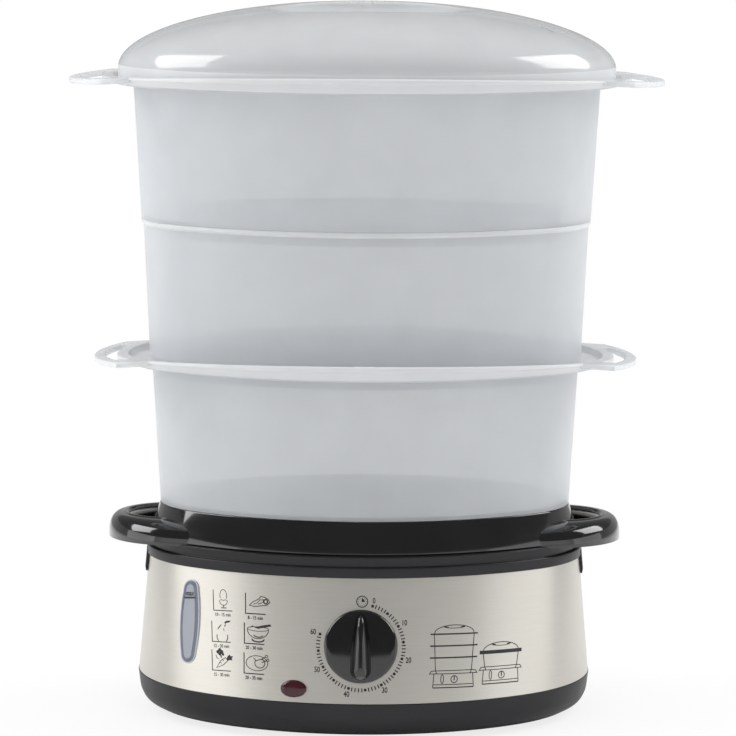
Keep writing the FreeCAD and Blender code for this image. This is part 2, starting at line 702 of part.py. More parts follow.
def heater_bracket():
    """Pressed strap that clamps tube and thermostat up against the plate."""
    half = BRACKET_WIDTH / 2.0
    low = BRACKET_TOP_Z - BRACKET_WALL
    strap = box(-BRACKET_HALF_LENGTH, BRACKET_HALF_LENGTH, -half, half, low, BRACKET_TOP_Z)
    reach = TUBE_RING_RADIUS + BRACKET_RIB_REACH
    rib = box(-reach, reach, -BRACKET_RIB, BRACKET_RIB, low - BRACKET_RIB, low)
    strap = fuse([strap, rib]).removeSplitter()
    holes = []
    for side in (-1, 1):
        holes.append(rod(SCREW_RADIUS + TIMER_HOLE_GAP, low - 1, BRACKET_TOP_Z + 1,
                         side * BRACKET_SCREW_X, 0))
    return cut(strap, holes)


def heater_screws():
    head_z = BRACKET_TOP_Z - BRACKET_WALL - SCREW_HEAD_HEIGHT
    return [screw(side * BRACKET_SCREW_X, 0, head_z, BRACKET_WALL + SCREW_BITE) for side in (-1, 1)]


def thermal_fuse():
    """Overheat fuse in its sleeve under the heater flange."""
    z = TUBE_TOP_Z - FUSE_RADIUS
    start = Vector(-FUSE_LENGTH / 2.0, FUSE_Y, z)
    sleeve = Part.makeCylinder(FUSE_RADIUS, FUSE_LENGTH, start, Vector(1, 0, 0))
    leads = []
    for side in (-1, 1):
        end = Vector(side * FUSE_LENGTH / 2.0, FUSE_Y, z)
        leads.append(Part.makeCylinder(FUSE_LEAD_RADIUS, FUSE_LEAD_LENGTH, end, Vector(side, 0, 0)))
    return fuse([sleeve] + leads)


def steam_ring():
    """Loose cone round the heater that makes steam quickly; water enters through its notches."""
    low = TANK_FLOOR_Z
    high = low + RING_HEIGHT
    outside = fuse([
        rod(RING_FOOT_RADIUS, low, low + RING_WALL),
        cone(RING_LOW_RADIUS, low, RING_HIGH_RADIUS, high),
    ])
    inside = cone(RING_LOW_RADIUS - RING_WALL, low, RING_HIGH_RADIUS - RING_WALL, high)
    skirt = outside.cut(inside)
    notches = []
    for index in range(RING_NOTCHES):
        notch = box(RING_LOW_RADIUS - RING_NOTCH_REACH, RING_FOOT_RADIUS + 1, -RING_NOTCH_WIDTH / 2,
                    RING_NOTCH_WIDTH / 2, low - 1, low + RING_NOTCH_HEIGHT)
        notch.rotate(Vector(0, 0, 0), Vector(0, 0, 1), index * 360.0 / RING_NOTCHES)
        notches.append(notch)
    return cut(skirt, notches)


# ------------------------------------------------------------------ timer and front fittings
def timer_body():
    """Clockwork timer housing behind the panel, with its shaft bore."""
    half = TIMER_SIDE / 2.0
    back = -TIMER_SETBACK - TIMER_DEPTH
    case = box(-half, half, -half, half, back, -TIMER_SETBACK)
    upright = [e for e in case.Edges if abs(e.tangentAt(e.FirstParameter).z) > 0.9]
    case = case.makeChamfer(TIMER_CHAMFER, upright)
    case = fuse([case, rod(TIMER_HUB_RADIUS, back - TIMER_HUB, back)])
    spacers = [
        rod(SPACER_RADIUS, -TIMER_SETBACK, -BAND_WALL - SPACER_GAP, side * TIMER_SCREW_X, 0)
        for side in (-1, 1)
    ]
    holes = [rod(SCREW_RADIUS, -TIMER_SCREW_DEPTH - 0.5, 0, side * TIMER_SCREW_X, 0) for side in (-1, 1)]
    holes.append(rod(SHAFT_RADIUS + SHAFT_FIT, -SHAFT_DEPTH - 0.5, 0))
    return placed(cut(fuse([case] + spacers), holes), PANEL)


def timer_bell():
    """Bell dish on the back of the timer."""
    back = -TIMER_SETBACK - TIMER_DEPTH - TIMER_HUB
    low = back - BELL_HEIGHT
    low_radius = BELL_RADIUS - BELL_TAPER
    outside = cone(low_radius, low, BELL_RADIUS, back)
    inside = cone(low_radius - BELL_WALL, low + BELL_WALL, BELL_RADIUS - BELL_WALL, back)
    hub = rod(TIMER_HUB_RADIUS, low, back)
    return placed(fuse([outside.cut(inside), hub]), PANEL)


def timer_screws():
    """Screws through the panel into the timer, hidden under the knob."""
    screws = []
    for side in (-1, 1):
        x = side * TIMER_SCREW_X
        head = rod(SCREW_HEAD_RADIUS, 0, TIMER_SCREW_HEAD, x, 0)
        shank = rod(SCREW_RADIUS, -TIMER_SCREW_DEPTH, 0, x, 0)
        screws.append(placed(fuse([head, shank]), PANEL))
    return screws


def shaft_solid(low, high, gap=0.0):
    """Timer shaft with a flat on its outer end."""
    shaft = rod(SHAFT_RADIUS + gap, low, high)
    flat_y = SHAFT_RADIUS - SHAFT_FLAT + gap
    flat = box(-SHAFT_RADIUS - 1, SHAFT_RADIUS + 1, flat_y, SHAFT_RADIUS + 2, KNOB_GAP + KNOB_WALL, high + 1)
    return shaft.cut(flat)


def timer_shaft():
    return placed(shaft_solid(-SHAFT_DEPTH, KNOB_DISC + SHAFT_GRIP), PANEL)


def boat_outline(top_y, low_y, width, z):
    """Pointed at the top, widest low down, round at the bottom."""
    half = width / 2.0
    tip = Vector(0, top_y, z)
    right = Vector(half, low_y, z)
    left = Vector(-half, low_y, z)
    middle_y = low_y + (top_y - low_y) * GRIP_MIDDLE
    bulge = half * GRIP_FULLNESS
    right_arc = Part.Arc(tip, Vector(bulge, middle_y, z), right).toShape()
    bottom = Part.Arc(right, Vector(0, low_y - half, z), left).toShape()
    left_arc = Part.Arc(left, Vector(-bulge, middle_y, z), tip).toShape()
    return Part.Wire([right_arc, bottom, left_arc])


def timer_knob():
    """Round knob with a ringed, slightly sunk face and a boat-shaped grip that points to the time."""
    low = KNOB_GAP
    face = KNOB_GAP + KNOB_DISC
    top = KNOB_GAP + KNOB_HEIGHT
    disc = fuse([
        rod(KNOB_RADIUS, low, face - KNOB_CHAMFER),
        cone(KNOB_RADIUS, face - KNOB_CHAMFER, KNOB_RADIUS - KNOB_CHAMFER, face),
    ]).removeSplitter()
    dish = cone(KNOB_RADIUS - KNOB_RING - KNOB_RING_SLOPE, face - KNOB_DISH, KNOB_RADIUS - KNOB_RING, face)
    hollow = rod(KNOB_RADIUS - KNOB_WALL, low, face - KNOB_DISH - KNOB_WALL)
    socket = rod(SHAFT_RADIUS + KNOB_SOCKET_WALL, low + KNOB_WALL, face)
    base = boat_outline(GRIP_TOP_Y, GRIP_LOW_Y, GRIP_WIDTH, face - KNOB_DISH - GRIP_ROOT)
    crest = boat_outline(GRIP_TOP_Y - 2 * GRIP_TAPER, GRIP_LOW_Y + GRIP_TAPER / 2,
                         GRIP_WIDTH - 2 * GRIP_TAPER, top)
    grip = Part.makeLoft([base, crest], True, True)
    body = fuse([disc.cut(dish).cut(hollow), socket, grip])
    return placed(body.cut(shaft_solid(0, KNOB_DISC + SHAFT_GRIP)), PANEL)


def lens_barrel(gap=0.0):
    """Barrel of the pilot lens, in its local frame."""
    half_width = LENS_HALF_WIDTH - LENS_BARREL_INSET + gap
    half_height = LENS_HALF_HEIGHT - LENS_BARREL_INSET + gap
    return oval_plug(half_width, half_height, -LENS_BARREL_DEPTH, LENS_OVERLAP)


def pilot_lens():
    """Red oval lens with a domed face and a hollow barrel."""
    dome_low = (LENS_HALF_WIDTH, LENS_HALF_HEIGHT)
    shoulder_inset, shoulder_share = LENS_SHOULDER
    levels = [(0.0, LENS_EDGE), (-shoulder_inset, LENS_RISE * shoulder_share), (-LENS_CROWN_INSET, LENS_RISE)]
    wires = [ellipse_wire(*grow(dome_low, shrink), z) for shrink, z in levels]
    face = Part.makeLoft(wires, True, True)
    half_width, half_height = (LAMP_BULB_RADIUS + gap for gap in LAMP_BULB_GAP)
    hollow = oval_plug(half_width, half_height, -LENS_BARREL_DEPTH, LENS_BORE)
    return placed(fuse([face, lens_barrel()]).cut(hollow), LAMP_FRAME)


def pilot_lamp():
    """Neon bulb in its holder behind the lens."""
    bulb = rod(LAMP_BULB_RADIUS, -LENS_BARREL_DEPTH, -LAMP_BULB_SETBACK)
    holder = rod(LAMP_BULB_RADIUS + LAMP_HOLDER_WALL, -LAMP_LENGTH, -LENS_BARREL_DEPTH)
    return placed(fuse([bulb, holder]), LAMP_FRAME)


def level_window():
    """Clear chamber that shows the water level through the steel."""
    bevel = Part.makeLoft([window_wire(0, WINDOW_EDGE), window_wire(-WINDOW_BEVEL, WINDOW_PROUD)], True, True)
    chamber = window_bar(0, -WINDOW_DEPTH, WINDOW_EDGE)
    hollow = window_bar(-WINDOW_WALL, -WINDOW_DEPTH + WINDOW_WALL, -WINDOW_WALL)
    body = fuse([bevel, chamber]).removeSplitter().cut(hollow)
    port = rod(HOSE_BORE, -WINDOW_DEPTH - 1, -WINDOW_DEPTH + WINDOW_WALL + 1, 0, -HOSE_DROP)
    return placed(body.cut(port), WINDOW_FRAME)


def window_gasket():
    """Rubber frame round the chamber, behind the steel."""
    top = -BAND_WALL - GASKET_SETBACK
    low = top - GASKET_THICK
    frame = window_bar(GASKET_FLANGE, low, top).cut(window_bar(GASKET_GAP, low - 1, top + 1))
    return placed(frame, WINDOW_FRAME)


def hose_core():
    """Water way from the window chamber into the tank."""
    return rod(HOSE_BORE, -WINDOW_DEPTH - HOSE_LENGTH, -WINDOW_DEPTH, 0, -HOSE_DROP)


def level_hose():
    """Short hose from the tank wall to the window chamber."""
    outer = rod(HOSE_RADIUS, -WINDOW_DEPTH - HOSE_LENGTH, -WINDOW_DEPTH, 0, -HOSE_DROP)
    tube = placed(outer.cut(hose_core()), WINDOW_FRAME)
    return tube.cut(tank_core(COLLAR_Z))


def cord_bush():
    """Rubber bush in the back of the band that lets the mains lead in."""
    flange_low, body_top = BUSH_ROOT
    flange_top = flange_low + BUSH_FLANGE
    groove_top, groove_low = (-BAND_WALL - depth for depth in BUSH_GROOVE)
    outside = fuse([
        rod(BUSH_RADIUS, -BUSH_TAIL, body_top),
        rod(BUSH_FLANGE_RADIUS, flange_low, flange_top),
        cone(BUSH_RADIUS, flange_top, BUSH_RADIUS - BUSH_NOSE_TAPER, BUSH_NOSE),
        rod(BUSH_FLANGE_RADIUS - BUSH_INNER_INSET, groove_low, groove_top),
    ])
    bore = rod(BUSH_BORE, -BUSH_TAIL - 1, BUSH_NOSE + 1)
    return placed(outside.cut(bore), BUSH_FRAME)


def terminal_block():
    """Two-way block on the plinth floor where the lead meets the wiring."""
    x, y = TERMINAL_PLACE
    width, depth, height = TERMINAL_SIZE
    block = box(x - width / 2, x + width / 2, y - depth / 2, y + depth / 2, FLOOR_TOP_Z, FLOOR_TOP_Z + height)
    tools = []
    for side in (-1, 1):
        at = x + side * width / 4.0
        middle = FLOOR_TOP_Z + height * TERMINAL_WIRE_HEIGHT
        start = Vector(at, y - depth / 2 - 1, middle)
        tools.append(Part.makeCylinder(TERMINAL_WIRE_RADIUS, depth + 2, start, Vector(0, 1, 0)))
        tools.append(rod(TERMINAL_SCREW_RADIUS, middle, FLOOR_TOP_Z + height + 1, at, y))
    return cut(block, tools)


# ------------------------------------------------------------------ drip tray
def handle_skin(inset):
    """Solid bounded by a handle's outer face, or by its inner face with the wall as inset."""
    tip_x = TRAY_FOOT_X + HANDLE_PROUD
    circles = []
    for share, lean in HANDLE_LEAN:
        radius = between(HANDLE_RADIUS, HANDLE_TOP_RADIUS, lean)
        centre_x = tip_x - HANDLE_SHOULDER * lean - radius
        centre = Vector(centre_x, 0, between(HANDLE_LOW_Z, HANDLE_TOP_Z, share))
        circles.append(Part.Wire(Part.Circle(centre, Vector(0, 0, 1), radius - inset).toShape()))
    return Part.makeLoft(circles, True)


def tray_handles():
    """Curved visors at both ends of the tray, open above, with an arched lower edge."""
    lift = HANDLE_LOW_Z + HANDLE_ARCH_RADIUS
    keep = Part.makeCylinder(HANDLE_ARCH_RADIUS, 2 * TRAY_FOOT_X, Vector(0, 0, lift), Vector(1, 0, 0))
    core_x = TRAY_RIM[0] - TRAY_FLAT
    inside = [
        ring(TRAY_RIM, [
            (TRAY_FOOT_X + HANDLE_SEAM, COLLAR_Z), (TRAY_RIM[0] + HANDLE_SEAM, TRAY_RIM_Z),
            (core_x, TRAY_RIM_Z), (core_x, COLLAR_Z),
        ]),
        ring(BAND_HIGH, [
            (BAND_HIGH[0] + COLLAR_PROUD + HANDLE_CLEAR, BAND_HIGH_Z),
            (BAND_HIGH[0] + HANDLE_CLEAR, COLLAR_Z),
            (TANK_FLOOR_X, COLLAR_Z), (TANK_FLOOR_X, BAND_HIGH_Z),
        ]),
        plate(grow(TRAY_RIM, core_x - TRAY_RIM[0]), BAND_HIGH_Z, TRAY_RIM_Z),
    ]
    visor = handle_skin(0).common(keep).cut(handle_skin(HANDLE_WALL))
    right = visor.cut(inside)
    left = right.mirror(Vector(0, 0, 0), Vector(1, 0, 0))
    return left, right


def tray_wall_x(z):
    """Half width of the tray's outer wall at a height."""
    return between(TRAY_FOOT_X, TRAY_RIM[0], (z - COLLAR_Z) / (TRAY_RIM_Z - COLLAR_Z))


def drip_tray():
    """Glossy black tray: wall that flares down to the collar, floor, spigot and steam chimney."""
    floor_top = COLLAR_Z + TRAY_FLOOR_WALL
    core_x = TRAY_RIM[0] - TRAY_FLAT
    core = grow(TRAY_RIM, core_x - TRAY_RIM[0])
    wall = ring(TRAY_RIM, [
        (TRAY_FOOT_X, COLLAR_Z),
        (TRAY_RIM[0], TRAY_RIM_Z),
        (TRAY_RIM[0] - TRAY_WALL, TRAY_RIM_Z),
        (tray_wall_x(floor_top) - TRAY_WALL, floor_top),
        (core_x, floor_top),
        (core_x, COLLAR_Z),
    ])
    mouth = grow(BAND_HIGH, TANK_MOUTH_X - BAND_HIGH[0])
    spigot_x = TANK_MOUTH_X - SPIGOT_GAP
    spigot_low_x = spigot_x - TRAY_SPIGOT_DEPTH * SPIGOT_SLOPE
    spigot = ring(mouth, [
        (spigot_x, COLLAR_Z),
        (spigot_x - TRAY_WALL - SPIGOT_ROOT, COLLAR_Z),
        (spigot_low_x - TRAY_WALL, COLLAR_Z - TRAY_SPIGOT_DEPTH),
        (spigot_low_x, COLLAR_Z - TRAY_SPIGOT_DEPTH),
    ])
    chimney = cone(CHIMNEY_RADIUS, COLLAR_Z, CHIMNEY_TOP_RADIUS, CHIMNEY_TOP_Z)
    body = fuse([wall, plate(core, COLLAR_Z, floor_top), spigot, chimney]).removeSplitter()
    throat_low, throat_high = CHIMNEY_RADIUS - CHIMNEY_WALL, CHIMNEY_TOP_RADIUS - CHIMNEY_WALL
    throat = cone(throat_low, COLLAR_Z, throat_high, CHIMNEY_TOP_Z)
    return body.cut(throat)


# ------------------------------------------------------------------ baskets
def ledge_z(seat_z):
    """Top of the ledge that carries the lift-out floor."""
    return seat_z + BASKET_WALL


def lug_circle(lip_x, proud):
    """Centre and radius of the circle that rounds off a carrying lug."""
    radius = (LUG_HALF_WIDTH ** 2 + proud ** 2) / (2.0 * proud)
    return lip_x + proud - radius, radius


def crown(gutter_x, shelf_z, under=0.0):
    """Everything below the arched crown of a rim, or below a level a little under it."""
    lip_x = gutter_x + GUTTER_FLARE + LIP_PROUD
    arch = (lip_x ** 2 + RIM_DROOP ** 2) / (2.0 * RIM_DROOP)
    crest = shelf_z + RIM_CREST
    reach = 2.0 * UPPER_GUTTER
    return Part.makeCylinder(arch - under, reach, Vector(0, -reach / 2, crest - arch), Vector(0, 1, 0))


def rim_lip(gutter_x, shelf_z, lug_proud):
    """Rolled lip of a rim with its two lugs, under the arched crown."""
    lip = at_width(gutter_x + GUTTER_FLARE + LIP_PROUD)
    centre, radius = lug_circle(lip[0], lug_proud)
    low = shelf_z - RIM_DROOP
    crest = shelf_z + RIM_CREST
    keep_clear = plate(grow(lip, LUG_WEB), low, crest)
    outline = [plate(lip, low, crest)]
    holes = []
    for side in (-1, 1):
        outline.append(rod(radius, low, crest, side * centre, 0))
        reach = side * (lip[0] + lug_proud)
        window = box(min(0, reach), max(0, reach), -LUG_HOLE_HALF_LENGTH, LUG_HOLE_HALF_LENGTH, low, crest)
        crescent = rod(radius - LUG_BAR, low, crest, side * centre, 0)
        holes.append(crescent.common(window).cut(keep_clear))
    inside = plate(at_width(gutter_x), low, crest)
    below = crown(gutter_x, shelf_z, LIP_THICK)
    return fuse(outline).common(crown(gutter_x, shelf_z)).cut([below, inside] + holes)


def at_width(half_width):
    """The basket plan oval that has a given half width."""
    return grow(TRAY_RIM, half_width - TRAY_RIM[0])


def basket(foot_x, foot_z, top_x, top_z, mouth_x, gutter_x=None, lug_proud=None):
    """Tapered wall with a skirt that drops into the mouth below, and a rim with gutter and lugs."""
    skirt_x = mouth_x - NEST_GAP
    low_z = foot_z - SKIRT_DEPTH
    outline = [
        (skirt_x - BASKET_WALL - SKIRT_TAPER, low_z),
        (skirt_x - SKIRT_TAPER, low_z),
        (skirt_x, foot_z),
        (foot_x, foot_z),
    ]
    if gutter_x:
        crest = top_z + RIM_CREST
        shelf_top = top_z + BASKET_WALL
        outline += [
            (top_x, top_z),
            (gutter_x, top_z),
            (gutter_x + GUTTER_FLARE, crest),
            (gutter_x + GUTTER_FLARE - BASKET_WALL, crest),
            (gutter_x - BASKET_WALL, shelf_top),
            (top_x - BASKET_WALL, shelf_top),
        ]
    else:
        bead_low = top_z - BEAD_HEIGHT
        outline += [
            (top_x - BEAD_FLARE, bead_low),
            (top_x + BEAD, bead_low + BEAD),
            (top_x + BEAD, top_z),
            (top_x - BASKET_WALL, top_z),
        ]
    outline += [
        (foot_x - BASKET_WALL, ledge_z(foot_z)),
        (skirt_x - BASKET_WALL, ledge_z(foot_z)),
    ]
    body = ring(TRAY_RIM, outline)
    if gutter_x:
        body = fuse([body.common(crown(gutter_x, top_z)), rim_lip(gutter_x, top_z, lug_proud)])
    return body


def half_width_at(oval, y):
    """Half width of an oval at a distance from its long axis."""
    end, side = arcs_of(oval)[:2]
    end_reach = math.sqrt(max(0.0, end[1] ** 2 - y ** 2))
    side_reach = math.sqrt(max(0.0, side[1] ** 2 - (y - side[0].y) ** 2))
    return min(end[0].x + end_reach, side_reach)


def basket_floor(foot_x, foot_z):
    """Lift-out floor: a thin oval plate with rows of slots."""
    outline = at_width(foot_x - BASKET_WALL - FLOOR_GAP)
    low = ledge_z(foot_z)
    slots = []
    field = grow(outline, -FLOOR_RIM)
    rows = int(field[1] // SLOT_PITCH_Y)
    for row in range(-rows, rows + 1):
        y = row * SLOT_PITCH_Y
        shift = SLOT_PITCH_X / 2.0 if row % 2 else 0.0
        edge_y = abs(y) + SLOT_WIDTH / 2.0
        reach = half_width_at(field, edge_y)
        columns = int(reach // SLOT_PITCH_X) + 1
        for column in range(-columns, columns + 1):
            x = column * SLOT_PITCH_X + shift
            if abs(x) + SLOT_LENGTH / 2.0 > reach:
                continue
            slots.append(box(x - SLOT_LENGTH / 2, x + SLOT_LENGTH / 2, y - SLOT_WIDTH / 2,
                             y + SLOT_WIDTH / 2, low, low + FLOOR_WALL))
    return plate(outline, low, low + FLOOR_WALL).cut(slots)


# ------------------------------------------------------------------ lid
def dome(oval, low_z, rise):
    """Upper half of an ellipsoid on an oval foot."""
    ball = Part.makeSphere(1.0, Vector(0, 0, 0), Vector(0, 0, 1), 0, 90, 360)
    stretch = FreeCAD.Matrix(oval[0], 0, 0, 0, 0, oval[1], 0, 0, 0, 0, rise, low_z, 0, 0, 0, 1)
    return ball.transformGeometry(stretch)


def scoops(extra=0.0):
    """The two finger scoops on either side of the lid's grip web."""
    top_z = lid_seat_z() + LID_SKIRT_HEIGHT + LID_RISE
    depth = GRIP_DEPTH + extra
    pair = []
    for side in (-1, 1):
        ball = Part.makeSphere(1.0)
        stretch = FreeCAD.Matrix(
            GRIP_HALF_LENGTH + extra, 0, 0, 0,
            0, GRIP_HALF_WIDTH + extra, 0, side * GRIP_OFFSET,
            0, 0, depth, top_z,
            0, 0, 0, 1,
        )
        pair.append(ball.transformGeometry(stretch))
    return pair


def lid_seat_z():
    return UPPER_SHELF_Z + BASKET_WALL


def lid():
    """Domed lid: skirt in the gutter, finger scoops on top and three steam vents."""
    seat = lid_seat_z()
    foot = at_width(UPPER_GUTTER - BASKET_WALL - LID_GAP)
    shoulder = seat + LID_SKIRT_HEIGHT
    inner = grow(foot, -LID_WALL)
    outside = fuse([oval_plug(*foot, seat, shoulder), dome(foot, shoulder, LID_RISE)])
    inside = fuse([oval_plug(*inner, seat, shoulder), dome(inner, shoulder, LID_RISE - LID_WALL)])
    outside = outside.cut(scoops())
    inside = inside.cut(scoops(LID_WALL))
    vents = []
    for x, y, turn in VENT_PLACES:
        slot = box(-VENT_LENGTH / 2, VENT_LENGTH / 2, -VENT_WIDTH / 2, VENT_WIDTH / 2,
                   shoulder, shoulder + LID_RISE)
        slot.rotate(Vector(0, 0, 0), Vector(0, 0, 1), turn)
        slot.translate(Vector(x, y, 0))
        vents.append(slot)
    return outside.cut([inside] + vents)


# ------------------------------------------------------------------ assembly
def build():
    parts = {
        "plinth": plinth(),
        "base_screws": Part.makeCompound(base_screws()),
        "steel_band": steel_band(),
        "tank_body": tank_body(),
        "heater_plate": heater_plate(),
        "heater_seal": heater_seal(),
        "heating_tube": heating_tube(),
        "thermostat": thermostat(),
        "heater_bracket": heater_bracket(),
        "heater_screws": Part.makeCompound(heater_screws()),
        "thermal_fuse": thermal_fuse(),
        "steam_ring": steam_ring(),
        "timer_body": timer_body(),
        "timer_bell": timer_bell(),
        "timer_screws": Part.makeCompound(timer_screws()),
        "timer_shaft": timer_shaft(),
        "timer_knob": timer_knob(),
        "pilot_lens": pilot_lens(),
        "pilot_lamp": pilot_lamp(),
        "level_window": level_window(),
        "window_gasket": window_gasket(),
        "level_hose": level_hose(),
        "cord_bush": cord_bush(),
        "terminal_block": terminal_block(),
        "drip_tray": drip_tray(),
        "lid": lid(),
    }
    parts["handle_left"], parts["handle_right"] = tray_handles()
    foot_names = ["foot_front_left", "foot_front_right", "foot_rear_left", "foot_rear_right"]
    for name, (x, y) in zip(foot_names, foot_places()):
        parts[name] = foot(x, y)
    middle_z = LOWER_SHELF_Z + BASKET_WALL
    tray_mouth = TRAY_RIM[0] - TRAY_WALL
    parts["basket_lower"] = basket(LOWER_FOOT_X, TRAY_RIM_Z, LOWER_TOP_X, LOWER_SHELF_Z, tray_mouth,
                                   LOWER_GUTTER, LOWER_LUG_PROUD)
    lower_mouth, middle_mouth = LOWER_TOP_X - BASKET_WALL, MIDDLE_TOP_X - BASKET_WALL
    parts["basket_middle"] = basket(MIDDLE_FOOT_X, middle_z, MIDDLE_TOP_X, MIDDLE_TOP_Z, lower_mouth)
    parts["basket_upper"] = basket(UPPER_FOOT_X, MIDDLE_TOP_Z, UPPER_TOP_X, UPPER_SHELF_Z, middle_mouth,
                                   UPPER_GUTTER, UPPER_LUG_PROUD)
    parts["floor_lower"] = basket_floor(LOWER_FOOT_X, TRAY_RIM_Z)
    parts["floor_middle"] = basket_floor(MIDDLE_FOOT_X, middle_z)
    parts["floor_upper"] = basket_floor(UPPER_FOOT_X, MIDDLE_TOP_Z)
    return parts


os.makedirs("parts", exist_ok=True)
for node, shape in build().items():
    shape.exportStep("parts/" + node + ".step")
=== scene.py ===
import json
from math import acos, asin, atan2, cos, degrees, pi, radians, sin, sqrt, tan

import bmesh
import bpy
from mathutils import Matrix, Vector

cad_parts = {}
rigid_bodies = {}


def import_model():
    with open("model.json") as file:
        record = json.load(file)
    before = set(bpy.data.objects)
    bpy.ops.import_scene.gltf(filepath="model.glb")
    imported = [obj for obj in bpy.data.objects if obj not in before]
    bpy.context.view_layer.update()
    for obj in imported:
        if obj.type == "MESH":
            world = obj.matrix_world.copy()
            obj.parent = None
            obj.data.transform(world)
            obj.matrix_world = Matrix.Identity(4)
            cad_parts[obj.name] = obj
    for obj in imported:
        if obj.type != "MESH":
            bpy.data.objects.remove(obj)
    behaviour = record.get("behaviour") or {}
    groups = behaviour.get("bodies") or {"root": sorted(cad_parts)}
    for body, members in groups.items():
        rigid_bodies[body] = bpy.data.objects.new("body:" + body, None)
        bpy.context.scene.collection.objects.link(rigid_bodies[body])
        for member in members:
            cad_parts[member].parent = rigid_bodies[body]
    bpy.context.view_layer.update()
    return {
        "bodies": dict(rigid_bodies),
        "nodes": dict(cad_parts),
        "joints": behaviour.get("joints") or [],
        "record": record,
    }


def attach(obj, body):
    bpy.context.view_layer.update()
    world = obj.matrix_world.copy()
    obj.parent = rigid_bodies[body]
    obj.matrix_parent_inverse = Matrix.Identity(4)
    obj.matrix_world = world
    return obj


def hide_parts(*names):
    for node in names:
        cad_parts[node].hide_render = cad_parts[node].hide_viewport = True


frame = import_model()
nodes = frame["nodes"]
MM = 0.001

# ---- sizes, in millimetres
BAND_LOW, BAND_LOW_Z = (128.3, 105), 22  # half width and half depth of the steel, and the height
BAND_HIGH, BAND_HIGH_Z = (122.5, 85), 88.5
BAND_WALL = 0.8
COLLAR_Z = 100
TRAY_RIM, TRAY_RIM_Z = (116.1, 73.6), 118
KNOB_PLACE = (-1.5, 52)  # x along the front, and height
LAMP_PLACE = (-38.3, 29)
WINDOW_PLACE = (-97, 59)
WINDOW_TURN = 7
WINDOW_SIZE = (13.6, 46, 10.2)  # width, height, width of the round ends
BUSH_PLACE = (0, 38)
POSTS = [(70, 58), (-70, 58), (70, -58), (-70, -58), (0, 72)]
RIM_CREST, RIM_DROOP, RIM_LIP = 9, 4.5, 3.6
BASKET_WALL = 1.8

# Each oval is four tangent arcs; their centres lie at these shares of half width less half depth.
END_SHARE, SIDE_SHARE = 1.5, 2
END_TURN = degrees(atan2(SIDE_SHARE, END_SHARE))
END_STEPS, SIDE_STEPS = 44, 60
HALF_TURN, FULL_TURN = 180, 360


# ---- ovals of four tangent arcs
def arc_at(oval, phi):
    """Centre x, centre y and radius of the oval's arc at a plan angle in degrees."""
    phi %= FULL_TURN
    slim = oval[0] - oval[1]
    end, side = END_SHARE * slim, SIDE_SHARE * slim
    if phi <= END_TURN or phi >= FULL_TURN - END_TURN:
        return end, 0, oval[0] - end
    if phi < HALF_TURN - END_TURN:
        return 0, -side, oval[1] + side
    if phi <= HALF_TURN + END_TURN:
        return -end, 0, oval[0] - end
    return 0, side, oval[1] + side


def oval_point(oval, phi, z, outward=0):
    """Point of an oval at a plan angle and height, moved outward."""
    cx, cy, radius = arc_at(oval, phi)
    turn = radians(phi)
    reach = radius + outward
    return Vector((cx + reach * cos(turn), cy + reach * sin(turn), z))


def round_angles():
    """Plan angles round an oval, denser where it bends."""
    angles = []
    for start, stop, steps in (
        (-END_TURN, END_TURN, END_STEPS),
        (END_TURN, HALF_TURN - END_TURN, SIDE_STEPS),
        (HALF_TURN - END_TURN, HALF_TURN + END_TURN, END_STEPS),
        (HALF_TURN + END_TURN, FULL_TURN - END_TURN, SIDE_STEPS),
    ):
        angles += [start + (stop - start) * k / steps for k in range(steps)]
    return angles


PHIS = round_angles()


def grow(oval, by):
    """Oval moved out by a distance all round."""
    return (oval[0] + by, oval[1] + by)


def at_width(half_width, oval=TRAY_RIM):
    """Oval of the same family, the tray's and baskets' as a rule, at a half width."""
    return grow(oval, half_width - oval[0])


def band_oval(z):
    """Oval of the steel's outside at a height."""
    share = (z - BAND_LOW_Z) / (BAND_HIGH_Z - BAND_LOW_Z)
    return tuple(a + (b - a) * share for a, b in zip(BAND_LOW, BAND_HIGH))


def band_angle(x, z):
    """Plan angle of the steel's front at x."""
    oval = band_oval(z)
    front = FULL_TURN - HALF_TURN / 2
    for near in (front, HALF_TURN, 0):
        cx, _, radius = arc_at(oval, near)
        ratio = (x - cx) / radius
        if abs(ratio) <= 1:
            phi = FULL_TURN - degrees(acos(ratio))
            if arc_at(oval, phi)[0] == cx:
                return phi
    return front


def band_frame(x, z, rear=False):
    """Matrix on the steel: local x along it, y up it, z out of it, in millimetres."""
    phi = band_angle(x, z)
    if rear:
        phi = FULL_TURN - phi
    origin = oval_point(band_oval(z), phi, z)
    turn = radians(phi)
    along = Vector((-sin(turn), cos(turn), 0))
    out = along.cross(oval_point(band_oval(z + 1), phi, z + 1) - origin).normalized()
    up = out.cross(along).normalized()
    matrix = Matrix((along, up, out)).transposed().to_4x4()
    matrix.translation = origin
    return matrix


# ---- meshes
SHARP, MERGE = 35, 1e-6  # degrees of a sharp edge; metres between equal points


def linked(name, data):
    """Puts a data block into the scene as an object."""
    obj = bpy.data.objects.new(name, data)
    bpy.context.scene.collection.objects.link(obj)
    return obj


def evaluated_mesh(obj):
    """A new mesh of the object with its modifiers, bevel or letters worked out."""
    bpy.context.view_layer.update()
    graph = bpy.context.evaluated_depsgraph_get()
    return bpy.data.meshes.new_from_object(obj.evaluated_get(graph))


def make(name, verts, faces, sharp=SHARP):
    """A mesh object from points in millimetres."""
    mesh = bpy.data.meshes.new(name)
    mesh.from_pydata([Vector(v) * MM for v in verts], [], faces)
    obj = linked(name, mesh)
    tidy(obj, sharp)
    return obj


